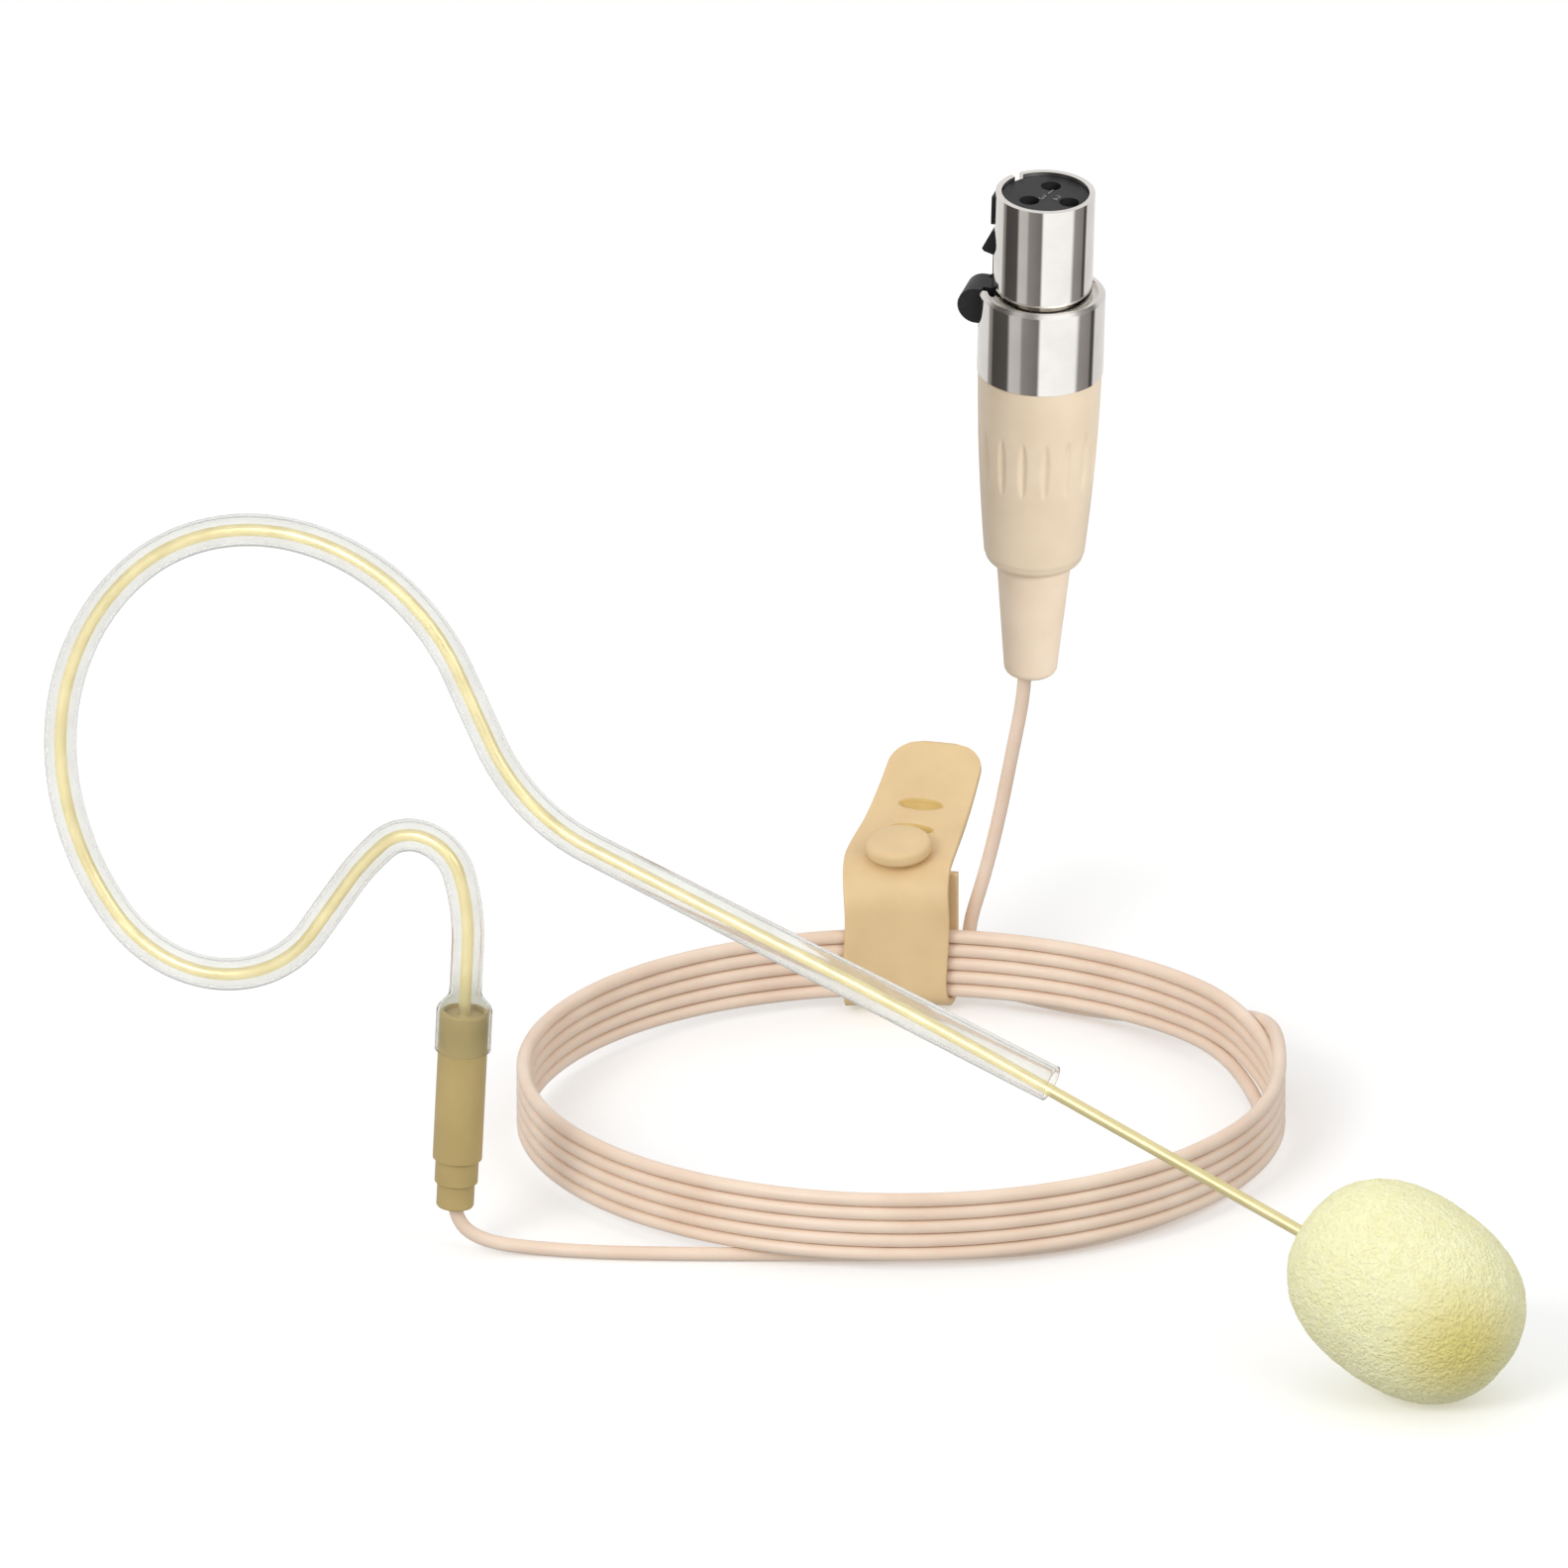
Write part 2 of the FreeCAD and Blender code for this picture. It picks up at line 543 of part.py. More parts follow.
def latch():
    """Rocking latch with its button and tooth, its pin and its torsion spring."""
    foot = Part.makeCylinder(0.75, 2 * LATCH_HALF_WIDTH,
                             V(LATCH_PIN_X, -LATCH_HALF_WIDTH, LATCH_PIN_Z), V(0, 1, 0))
    bar = prism([
        (3.55, LATCH_PIN_Z), (4.4, LATCH_PIN_Z), (4.4, TOOTH_Z - 0.5), (TOOTH_R - 0.2, TOOTH_Z - 0.25),
        (TOOTH_R, TOOTH_Z), (4.6, TOOTH_TOP - 0.1), (4.2, TOOTH_TOP), (3.55, TOOTH_TOP),
    ], LATCH_HALF_WIDTH)
    stem = block((4.2, 5.6), LATCH_HALF_WIDTH, (BUTTON_FOOT, BUTTON_TOP))
    pad = block((BUTTON_BACK, BUTTON_X), BUTTON_HALF_WIDTH, (BUTTON_FOOT, BUTTON_TOP))
    dome_r = (BUTTON_TOP - BUTTON_FOOT) / 2
    dome = Part.makeCylinder(dome_r, 2 * BUTTON_HALF_WIDTH,
                             V(BUTTON_X, -BUTTON_HALF_WIDTH, BUTTON_FOOT + dome_r), V(0, 1, 0))
    dome = dome.common(block((BUTTON_BACK, 9), BUTTON_HALF_WIDTH, (BUTTON_FOOT, BUTTON_TOP)))
    lever = foot.fuse([bar, stem, pad, dome]).removeSplitter()
    bore = Part.makeCylinder(LATCH_PIN_R + 0.04, 4, V(LATCH_PIN_X, -2, LATCH_PIN_Z), V(0, 1, 0))
    pin = Part.makeCylinder(LATCH_PIN_R, 5.0, V(LATCH_PIN_X, -2.5, LATCH_PIN_Z), V(0, 1, 0))

    coil = Part.makeHelix(0.16, 0.64, 0.5)
    section = Part.Wire(Part.makeCircle(0.06, V(0.5, 0, 0), V(0, 1, 0)))
    spring = Part.Wire(coil).makePipeShell([section], True, True)
    spring.rotate(ORIGIN, V(1, 0, 0), 90)
    spring.translate(V(LATCH_PIN_X, -1.2, LATCH_PIN_Z))
    return {"latch_lever": lever.cut(bore), "latch_pin": pin, "latch_spring": spring}


def plug_handle():
    """Tapered grip with lens-shaped flutes, hollow for the wires."""
    foot, top = BOOT_TOP, HANDLE_TOP
    side = Part.Arc(V(HANDLE_TOP_R, 0, top), V(HANDLE_MIDDLE_R, 0, top - 9), V(HANDLE_FOOT_R, 0, foot + 0.9))
    heel = Part.Arc(V(HANDLE_FOOT_R, 0, foot + 0.9), V(4.05, 0, foot + 0.3), V(3.4, 0, foot))
    inside = Part.makePolygon([
        V(3.4, 0, foot), V(BOOT_NECK_R + 0.05, 0, foot), V(BOOT_NECK_R + 0.05, 0, foot + 1.5),
        V(3.2, 0, foot + 1.5), V(3.2, 0, foot + 8), V(4.2, 0, foot + 12), V(4.2, 0, SPIGOT_FOOT - 0.5),
        V(SPIGOT_R + 0.05, 0, SPIGOT_FOOT - 0.5), V(SPIGOT_R + 0.05, 0, top), V(HANDLE_TOP_R, 0, top),
    ])
    edges = Part.__sortEdges__([side.toShape(), heel.toShape()] + inside.Edges)
    grip = Part.Face(Part.Wire(edges)).revolve(ORIGIN, UP, 360)
    lens = Part.Arc(V(0, 0, 0), V(0.8, 0, FLUTE_LENGTH / 2), V(0, 0, FLUTE_LENGTH))
    axis = Part.LineSegment(V(0, 0, FLUTE_LENGTH), V(0, 0, 0))
    cutter = Part.Face(Part.Wire([lens.toShape(), axis.toShape()])).revolve(ORIGIN, UP, 360)
    for index in range(FLUTES):
        flute = cutter.copy()
        flute.translate(V(HANDLE_MIDDLE_R + 0.93 - FLUTE_DEPTH, 0, top - 5 - FLUTE_LENGTH))
        flute.rotate(ORIGIN, UP, 360 / FLUTES * index)
        grip = grip.cut(flute)
    return {"plug_handle": grip}


def plug_tail():
    """Flexible boot, the clamp that grips the cord, and the jacket's end between them."""
    boot = turned([
        (0, 0), (BOOT_FOOT_R - 0.75, 0), (BOOT_FOOT_R - 0.3, 0.15), (BOOT_FOOT_R - 0.05, 0.45),
        (BOOT_FOOT_R + 0.03, 0.9), (BOOT_TOP_R, BOOT_TOP), (BOOT_NECK_R, BOOT_TOP),
        (BOOT_NECK_R, BOOT_TOP + 2.0), (0, BOOT_TOP + 2.0),
    ])
    clamp = ring(2.9, 0, CLAMP_FOOT, CLAMP_TOP)
    jacket = ring(CORD_R, 0, 0, JACKET_TOP)
    hole = ring(CORD_BORE_R, 0, -1, JACKET_TOP)
    grip = ring(CORD_R + 0.01, 0, 0, JACKET_TOP)
    for solid in (jacket, hole, grip):
        solid.translate(polar(JACKET_SHIFT, JACKET_SIDE))
    slit = block((JACKET_SHIFT, 3), 0.15, (CLAMP_FOOT - 1, CLAMP_TOP + 1))
    return {"plug_boot": boot.cut(hole), "cable_clamp": clamp.cut(grip).cut(slit), "plug_jacket_end": jacket}


def plug():
    pieces = {}
    for make in (plug_shell, plug_core, latch, plug_handle, plug_tail):
        pieces.update(make())
    return placed(pieces, PLUG_FRAME)


# ---- All pieces ----

def main():
    os.makedirs("parts", exist_ok=True)
    pieces = {}
    for make in (ear_hook, splice_barrel, boom, capsule, windscreen, cord, cable_tie, plug):
        pieces.update(make())
    for name, shape in pieces.items():
        if not shape.isValid() or not shape.Solids:
            print("not a valid solid:", name)
        shape.exportStep(os.path.join("parts", name + ".step"))
    print(len(pieces), "pieces")


main()
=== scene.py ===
import math

import bmesh
import bpy
from mathutils import Matrix, Vector, noise


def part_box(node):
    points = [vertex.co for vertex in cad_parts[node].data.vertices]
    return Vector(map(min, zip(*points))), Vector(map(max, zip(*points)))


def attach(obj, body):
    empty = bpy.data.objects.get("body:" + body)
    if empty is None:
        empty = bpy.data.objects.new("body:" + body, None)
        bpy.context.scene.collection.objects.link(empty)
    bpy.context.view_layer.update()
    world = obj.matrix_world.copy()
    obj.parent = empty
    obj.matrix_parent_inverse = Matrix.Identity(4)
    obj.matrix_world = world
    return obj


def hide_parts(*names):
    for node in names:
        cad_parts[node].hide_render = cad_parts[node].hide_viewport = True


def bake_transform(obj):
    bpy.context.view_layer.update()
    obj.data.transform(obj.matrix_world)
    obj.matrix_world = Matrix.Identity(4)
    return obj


# Looks of the headset microphone: clear silicone sleeve over a metal tube, foam windscreen,
# coiled cord with its tie, and a chromed three-pin plug. Metres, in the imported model's frame.

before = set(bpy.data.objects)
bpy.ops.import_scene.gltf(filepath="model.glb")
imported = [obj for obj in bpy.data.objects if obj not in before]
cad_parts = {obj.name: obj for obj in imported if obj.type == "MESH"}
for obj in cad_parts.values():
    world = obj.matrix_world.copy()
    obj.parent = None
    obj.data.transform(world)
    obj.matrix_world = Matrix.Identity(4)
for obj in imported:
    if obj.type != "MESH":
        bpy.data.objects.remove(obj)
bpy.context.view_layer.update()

# ---- Headset plane, from the cord gland to the sleeve's mouth ----
GLAND_FOOT = Vector((-0.03165, 0, 0.0046))
BARREL_HEADING = 87.05              # degrees from +X towards +Z
BARREL_RUN = 0.02482
EAR_HOOK = [
    ("arc", 0.0188, 20.25),
    ("arc", 0.0044, 117.4),
    ("arc", 0.0265, 11.7),
    ("run", 0.0062, 0),
    ("arc", 0.0117, -107.6),
    ("arc", 0.0244, -83.1),
    ("arc", 0.0195, -109.3),
    ("run", 0.0069, 0),
    ("arc", 0.01715, 43.8),         # S-bend from the ear loop into the boom
]
BOOM_RUN = 0.047
DROOP_RUN = 0.026                   # stretch over which the boom tube sinks in its sleeve
DROOP_TURN = -2.6

# ---- Sleeve, tube and lead ----
SLEEVE_R = 0.00145
SLEEVE_BORE_R = 0.00115
MOUTH_R = 0.00165
MOUTH_BORE_R = 0.0013
FLARE_FOOT = 0.0149                 # along the barrel from the gland's end face
FLARE_TOP = 0.0186
FLARE_R = 0.0025
FLARE_BORE_R = 0.00224
SHOULDER_TOP = 0.0203
LIP = 0.00007                       # rounding of the sleeve's rims
SILICONE_IOR = 1.1                  # low, so that the tube inside keeps its width
SILICONE_TINT = (0.05, 0.06, 0.03, 1)
SILICONE_DENSITY = 105              # per metre
FLARE_TINT = (204, 204, 190)        # the flare is greyer than the rest of the sleeve
FLARE_TINT_R = 0.007
WIRE_R = 0.00055
WIRE_BORE_R = 0.00034
WIRE_FOOT = 0.014
WIRE_REACH = 0.0346                 # past the sleeve's mouth
LEAD_R = 0.0002
LEAD_FOOT = 0.0106
LEAD_REACH = 0.0362

# ---- Windscreen, measured along the boom from the sleeve's mouth ----
FOAM_FOOT = 0.02605
FOAM_LENGTH = 0.0218
FOAM_R = 0.0088
FOAM_FULLNESS = 2.3                 # 2 is an egg, more is boxier
FOAM_TILT = 7.0
FOAM_MOUTH_R = 0.00075
FOAM_MOUTH_DEPTH = 0.003
FOAM_BORE_R = 0.00215
FOAM_BORE_START = 0.004             # the mouth widens to the bore over its last millimetre
FOAM_BORE_DEPTH = 0.015
FOAM_CUT_PAST = 0.003               # the cutter starts this far outside the mouth
FOAM_CELL = 0.0004
FOAM_ROUGHNESS = 0.00007
FOAM_SHADE_SPOT = Vector((0.0082, -0.0068, -0.0024))     # painted shade: deeper yellow here, centred this far from the foam's middle
FOAM_SHADE_SPOT_R = 0.0092

# ---- Cord. Its route points are in the coil's frame, where -Y faces the camera ----
CORD_R = 0.000625
COIL_CENTRE = Vector((-0.0061, 0.0416, 0))
COIL_TURN = 22.7                    # degrees about +Z
COIL_R = 0.03365
COIL_PITCH = 0.00127
COIL_LOW = 0.001925                 # height of the bottom turn's line
COIL_STEP = 15                      # degrees between the spline's points
COIL_FIRST = 45                     # degrees round the coil where those points start
COIL_LAST = 1770                    # and end
ROW_CHANGE_START = 10               # each turn climbs to the next row from here, past the right end
ROW_CHANGE = 20                     # and over this many degrees
SPLINE_SHRINK = 0.9914              # the spline runs this much inside its points on the coil

HEADSET_LEAD = [
    (-0.03963, -0.02852, 0.00460), (-0.03950, -0.02852, 0.00360), (-0.03855, -0.02854, 0.00210),
    (-0.03630, -0.02860, 0.00105), (-0.03260, -0.02895, 0.00068), (-0.02650, -0.03000, 0.00064),
    (-0.01650, -0.03040, 0.00064), (-0.00100, -0.03040, 0.00064), (0.01310, -0.02930, 0.00064),
    (0.02290, -0.02250, 0.00070), (0.02980, -0.01220, 0.00075), (0.03276, -0.00155, 0.00080),
    (0.03166, 0.00819, 0.00135), (0.02860, 0.01780, 0.00193),
]
PLUG_LEAD = [
    (0.01110, 0.03320, 0.03230), (0.01105, 0.03345, 0.03010), (0.01000, 0.03415, 0.02430),
    (0.00885, 0.03475, 0.01790), (0.00760, 0.03515, 0.01240), (0.00590, 0.03540, 0.00660),
    (0.00660, 0.03525, 0.00340), (0.00880, 0.03455, 0.00140), (0.01200, 0.03350, 0.00095),
    (0.01620, 0.03160, 0.00072), (0.02186, 0.02797, 0.00130), (0.02596, 0.02421, 0.00260),
    (0.02935, 0.01980, 0.00430), (0.03164, 0.01543, 0.00600), (0.03319, 0.01078, 0.00690),
    (0.03368, 0.00594, 0.00710), (0.03379, 0.00088, 0.00700), (0.03338, -0.00529, 0.00700),
    (0.03186, -0.01128, 0.00700),
]

# ---- Cable tie ----
TIE_ANGLE = 90.2
TIE_HALF_WIDTH = 0.00485
TIE_HALF_THICKNESS = 0.00035
TIE_CLEARANCE = 0.00012
TIE_BACK_TOP = 0.0127
TIE_FRONT_RUN = 0.00772
TIE_BEND_R = 0.004
TIE_BUTTON_LEAN = 80.0              # degrees from upright, where the button sits
TIE_TAIL_CURL = 26.0                # the tail curls up by this much from there to its end
TIE_TAIL_LENGTH = 0.0152
TIE_TAIL_HALF_WIDTH = 0.0042
TIE_TAIL_YAW = -16.0
TIE_TAIL_CORNER_R = 0.0026
TIE_TURN_BEFORE = 0.011             # the strap turns into its tail from here before the button
TIE_TURN_AFTER = 0.006              # to here past it
TIE_DRIFT = [                       # distance from the band's back end, and its sideways lean there
    (0, -0.0003), (0.0105, -0.0003), (0.015, 0.00045), (0.0225, 0),
]
TIE_EDGE_R = 0.00016
TIE_SLOTS = (0.0042, 0.0076)        # along the tail from the button
TIE_SLIT = [                        # height in the tail, half width, half length
    (-0.00024, 0.00042, 0.00175), (0.0001, 0.00058, 0.0019), (0.0005, 0.00085, 0.0022),
]
BUTTON_R = 0.003
BUTTON_HEIGHT = 0.0014
BUTTON_EDGE_R = 0.00055
BUTTON_NECK_R = 0.0013
BUTTON_RISE = 0.00015
BUTTON_DOME = [(0.6, 0.00004), (0.2, 0.00006)]      # share of the rim's radius, and rise there

# ---- Plug, measured along its axis from the end of its boot ----
PLUG_FOOT = Vector((0.01160, 0.03320, 0.03230))
PLUG_LEAN = Vector((0.027, -0.113, 1))
LATCH_SIDE = 165.0
BOOT_TOP = 0.0113
BOOT_FOOT_R = 0.0024
BOOT_TOP_R = 0.00335
BOOT_NECK_R = 0.0019
BOOT_NECK_HEIGHT = 0.002
BOOT_EDGE_R = 0.0008
BOOT_TOP_CHAMFER = 0.0001
BOOT_CORE_R = 0.0003                # closes the boot's middle; the cord's hole goes through it
BOOT_HOLE = [                       # gap round the cord, and height
    (0.00014, -0.001), (0.00004, 0.0004), (0.00004, 0.0143),
]
GRIP_FOOT = 0.0113
GRIP_TOP = 0.0303
GRIP_FOOT_R = 0.0044
GRIP_TOP_R = 0.00555
GRIP_BULGE = 0.0002
GRIP_EDGE_R = 0.0009
GRIP_TOP_CHAMFER = 0.00008
GRIP_BORE_R = 0.0048
GRIP_BORE_DEPTH = 0.003
GRIP_CORE_R = 0.0032                # the bore narrows to this
GRIP_CORE_DEPTH = 0.010
GRIP_FLOOR = 0.0015                 # thickness of the wall at the grip's foot
GRIP_NECK_GAP = 0.00005
GRIP_ROWS = 100
GRIP_COLUMNS = 320
GROOVES = 16
GROOVE_MIDDLE = 0.02245
GROOVE_LENGTH = 0.0057
GROOVE_HALF_WIDTH = 0.00055
GROOVE_DEPTH = 0.00022
JACKET_SHIFT = 0.0005
JACKET_SIDE = 15.0
INSERT_TOP = 0.0475
PIN_CIRCLE_R = 0.00205
PIN_CIRCLE_SHIFT = 0.0004
PIN_ANGLES = (-78, 162, 42)
NUMERAL_SIZE = 0.0013
NUMERAL_DEPTH = 0.00004
NUMERAL_LIFT = 0.00002
NUMERAL_CIRCLE = 0.36               # share of the pins' circle

# ---- Materials ----
MOTTLE_DETAIL = 3
GRAIN_DETAIL = 2
NOISE_LOW = 0.3                     # cloudy noise lies mostly between these
NOISE_HIGH = 0.7
SATIN_START = 0.6                   # cosine of the angle to the axis where chrome starts to dull
SATIN_FULL = 0.8

# ---- Camera and light ----
SKY_ABOVE = 0.8
SKY_BELOW = 0.52
SKY_TURN = (-0.3, 0.6)              # heights on the unit sphere between which it brightens
SKY_SEEN = 1.0                      # the backdrop beyond the floor
FLOOR_SIZE = 6
FLOOR_WHITE = 0.95
FLOOR_GLOW = 0.15
CARD_WARMTH = 0.14
LAMPS = [                           # degrees right of the camera and up, distance, width, watts
    ("key", -35, 30, 1.2, 0.5, 5),
    ("plug_key", 35, 25, 1.2, 0.5, 6.5),
    ("fill", 40, 30, 1.3, 0.6, 2),
]
PLUG_LIGHT = {"key": "EXCLUDE", "plug_key": "INCLUDE"}      # what each lamp does with the plug
RING_RADIUS = 0.03
RING_FOOT = 0.042
RING_TOP = 0.12
VIEW_AZIMUTH = 22.7
VIEW_ELEVATION = 20.3
VIEW_TARGET = Vector((0, 0, 0.04895))
VIEW_WIDTH = 0.13886                # width of the picture, at this depth behind the target
VIEW_DEPTH = 0.015
LENS_MM = 1600
SENSOR_MM = 36


# ---- Shapes ----

def smoothstep(share):
    share = min(max(share, 0), 1)
    return share * share * (3 - 2 * share)


def heading_vector(degrees):
    """Unit vector in the plane Y = 0."""
    angle = math.radians(degrees)
    return Vector((math.cos(angle), 0, math.sin(angle)))


def barrel_point(distance):
    return GLAND_FOOT + heading_vector(BARREL_HEADING) * distance


def polar(radius, degrees, height=0):
    angle = math.radians(degrees)
    return Vector((radius * math.cos(angle), radius * math.sin(angle), height))


def plane_samples(start, heading, steps, spacing):
    """(distance, point, heading) along runs and tangent arcs in the plane Y = 0."""
    samples = []
    distance = 0
    for kind, size, turn in steps:
        length = size if kind == "run" else size * math.radians(abs(turn))
        count = max(1, math.ceil(length / spacing))
        side = math.copysign(90, turn)
        centre = start + heading_vector(heading + side) * size
        for index in range(count + 1):
            share = index / count
            if kind == "run":
                point = start + heading_vector(heading) * length * share
            else:
                point = centre + heading_vector(heading - side + turn * share) * size
            if index or not samples:
                samples.append((distance + length * share, point, heading + turn * share))
        distance += length
        start = point
        heading += turn
    return samples


def profile_at(stations, distance):
    """Values at a distance, eased between given stations (distance, value, value...)."""
    if distance <= stations[0][0]:
        return stations[0][1:]
    for near, far in zip(stations, stations[1:]):
        if distance <= far[0]:
            share = smoothstep((distance - near[0]) / (far[0] - near[0]))
            return [a + (b - a) * share for a, b in zip(near[1:], far[1:])]
    return stations[-1][1:]


def face_outwards(mesh):
    """Turns every face outwards and shades it smooth."""
    work = bmesh.new()
    work.from_mesh(mesh)
    bmesh.ops.recalc_face_normals(work, faces=work.faces)
    work.to_mesh(mesh)
    work.free()
    mesh.polygons.foreach_set("use_smooth", [True] * len(mesh.polygons))
    mesh.update()


def add_mesh(name, points, faces, material):
    mesh = bpy.data.meshes.new(name)
    mesh.from_pydata(points, [], faces)
    face_outwards(mesh)
    mesh.materials.append(material)
    piece = bpy.data.objects.new(name, mesh)
    bpy.context.scene.collection.objects.link(piece)
    return piece


def skin(name, rings, material, looped=False):
    """A surface through rings of points. A looped one joins its last ring to its first."""
    count = len(rings[0])
    points = [point for ring in rings for point in ring]
    faces = []
    for index in range(len(rings) if looped else len(rings) - 1):
        here = index * count
        there = (index + 1) % len(rings) * count
        for side in range(count):
            after = (side + 1) % count
            faces.append((here + side, here + after, there + after, there + side))
    if not looped:
        faces.append(tuple(reversed(range(count))))
        faces.append(tuple(range(len(points) - count, len(points))))
    return add_mesh(name, points, faces, material)


def round_ring(point, heading, radius, count):
    """A circle about a path in the plane Y = 0."""
    across = heading_vector(heading + 90)
    ring = []
    for index in range(count):
        spot = polar(radius, 360 / count * index)
        ring.append(point + across * spot.x + Vector((0, spot.y, 0)))
    return ring


def hollow_tube(name, samples, stations, count, material):
    """A tube with walls; stations give (distance, outer radius, inner radius)."""
    outside = []
    inside = []
    for distance, point, heading in samples:
        outer, inner = profile_at(stations, distance)
        outside.append(round_ring(point, heading, outer, count))
        inside.append(round_ring(point, heading, inner, count))
    return skin(name, outside + inside[::-1], material, looped=True)


def turned(name, outline, count, material, matrix):
    """A closed solid of revolution about Z from (radius, height) points, foot to top."""
    rings = []
    for radius, height in outline:
        rings.append([matrix @ polar(radius, 360 / count * index, height) for index in range(count)])
    return skin(name, rings, material)


def quarter(centre_r, centre_z, radius, first, last, count=6):
    """Points (radius, height) round a moulded edge, between two angles in degrees."""
    points = []
    for index in range(count + 1):
        spot = polar(radius, first + (last - first) * index / count)
        points.append((centre_r + spot.x, centre_z + spot.y))
    return points


def cut(piece, *cutters):
    """Takes the cutters out of a piece for good."""
    for cutter in cutters:
        modifier = piece.modifiers.new("cut", "BOOLEAN")
        modifier.operation = "DIFFERENCE"
        modifier.solver = "EXACT"
        modifier.material_mode = "TRANSFER"
        modifier.object = cutter
    bpy.context.view_layer.update()
    evaluated = piece.evaluated_get(bpy.context.evaluated_depsgraph_get())
    mesh = bpy.data.meshes.new_from_object(evaluated)
    face_outwards(mesh)
    piece.modifiers.clear()
    piece.data = mesh
    for cutter in cutters:
        bpy.data.objects.remove(cutter)


# ---- Materials ----

def linear(colour):
    """Scene-linear RGBA from an sRGB colour in 0-255."""
    parts = []
    for value in colour:
        value /= 255
        parts.append(value / 12.92 if value < 0.04045 else ((value + 0.055) / 1.055) ** 2.4)
    return (*parts, 1)


class Finish:
    """A Principled material with mottled colour, uneven gloss and a fine grain."""

    def __init__(self, name, colours, roughness, mottle_size, grain_size, grain_depth, **sockets):
        self.material = bpy.data.materials.new(name)
        self.material.use_nodes = True
        self.nodes = self.material.node_tree.nodes
        self.shader = self.nodes["Principled BSDF"]
        for socket, value in sockets.items():
            self.shader.inputs[socket.replace("_", " ")].default_value = value
        self.place = self.nodes.new("ShaderNodeTexCoord").outputs["Object"]
        mottle = self.noise(mottle_size, MOTTLE_DETAIL)
        self.colour = self.ramp(mottle, *colours)
        self.join(self.colour, self.shader.inputs["Base Color"])
        self.gloss = self.ranged(mottle, *roughness).outputs["Result"]
        self.join(self.gloss, self.shader.inputs["Roughness"])
        grain = self.noise(grain_size, GRAIN_DETAIL)
        self.join(self.bump(grain, grain_depth), self.shader.inputs["Normal"])

    def join(self, output, socket):
        self.material.node_tree.links.new(output, socket)

    def noise(self, size, detail):
        """Cloudy noise whose spots are about this many metres across."""
        node = self.nodes.new("ShaderNodeTexNoise")
        node.inputs["Scale"].default_value = 1 / size
        node.inputs["Detail"].default_value = detail
        self.join(self.place, node.inputs["Vector"])
        return node.outputs["Fac"]

    def ramp(self, value, first, last):
        """Fades from one sRGB colour to another over the noise's range."""
        node = self.nodes.new("ShaderNodeValToRGB")
        stops = [(NOISE_LOW, first), (NOISE_HIGH, last)]
        for element, (position, colour) in zip(node.color_ramp.elements, stops):
            element.position = position
            element.color = linear(colour)
        self.join(value, node.inputs["Fac"])
        return node.outputs["Color"]

    def ranged(self, value, low, high, start=NOISE_LOW, end=NOISE_HIGH):
        """Takes start..end to low..high."""
        node = self.nodes.new("ShaderNodeMapRange")
        node.inputs["From Min"].default_value = start
        node.inputs["From Max"].default_value = end
        node.inputs["To Min"].default_value = low
        node.inputs["To Max"].default_value = high
        self.join(value, node.inputs["Value"])
        return node

    def bump(self, height, depth):
        node = self.nodes.new("ShaderNodeBump")
        node.inputs["Distance"].default_value = depth
        self.join(height, node.inputs["Height"])
        return node.outputs["Normal"]

    def tint(self, colour, centre, radius):
        """A patch of another colour that fades out over the radius."""
        distance = self.nodes.new("ShaderNodeVectorMath")
        distance.operation = "DISTANCE"
        self.join(self.place, distance.inputs[0])
        distance.inputs[1].default_value = centre
        fade = self.ranged(distance.outputs["Value"], 1, 0, start=0, end=radius)
        fade.interpolation_type = "SMOOTHSTEP"
        patch_mix = self.nodes.new("ShaderNodeMixRGB")
        self.join(fade.outputs["Result"], patch_mix.inputs["Fac"])
        self.join(self.colour, patch_mix.inputs["Color1"])
        patch_mix.inputs["Color2"].default_value = linear(colour)
        self.join(patch_mix.outputs["Color"], self.shader.inputs["Base Color"])

    def satin_across(self, axis, roughness):
        """Duller on faces square to the axis."""
        facing = self.nodes.new("ShaderNodeVectorMath")
        facing.operation = "DOT_PRODUCT"
        self.join(self.nodes.new("ShaderNodeTexCoord").outputs["Normal"], facing.inputs[0])
        facing.inputs[1].default_value = axis
        dull = self.ranged(facing.outputs["Value"], 0, roughness, SATIN_START, SATIN_FULL)
        higher = self.nodes.new("ShaderNodeMath")
        higher.operation = "MAXIMUM"
        self.join(self.gloss, higher.inputs[0])
        self.join(dull.outputs["Result"], higher.inputs[1])
        self.join(higher.outputs["Value"], self.shader.inputs["Roughness"])


def silicone():
    """Clear sleeve with a faint haze, greyer where more of it is looked through."""
    finish = Finish("clear_silicone", ((244, 244, 241), (250, 250, 248)), (0.08, 0.14),
                    0.004, 0.0006, 0.000002, IOR=SILICONE_IOR, Transmission_Weight=0.95)
    finish.tint(FLARE_TINT, barrel_point((FLARE_FOOT + FLARE_TOP) / 2), FLARE_TINT_R)
    haze = finish.nodes.new("ShaderNodeVolumeAbsorption")
    haze.inputs["Color"].default_value = SILICONE_TINT
    haze.inputs["Density"].default_value = SILICONE_DENSITY
    finish.join(haze.outputs["Volume"], finish.nodes["Material Output"].inputs["Volume"])
    return finish.material


def foam_material():
    """Open-cell foam: fine pores and light that sinks in a little."""
    finish = Finish("foam", ((252, 247, 193), (255, 252, 207)), (0.9, 1.0),
                    0.0012, 0.0003, 0.00032, Subsurface_Weight=0.12, Subsurface_Scale=0.0005)
    finish.shader.inputs["Subsurface Radius"].default_value = (1.0, 0.9, 0.5)
    low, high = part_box("foam_windscreen")
    # Painted shade: a deeper yellow patch on the foam's lower right, fading out over its radius.
    finish.tint((230, 217, 132), (Vector(low) + Vector(high)) / 2 + FOAM_SHADE_SPOT, FOAM_SHADE_SPOT_R)
    return finish.material


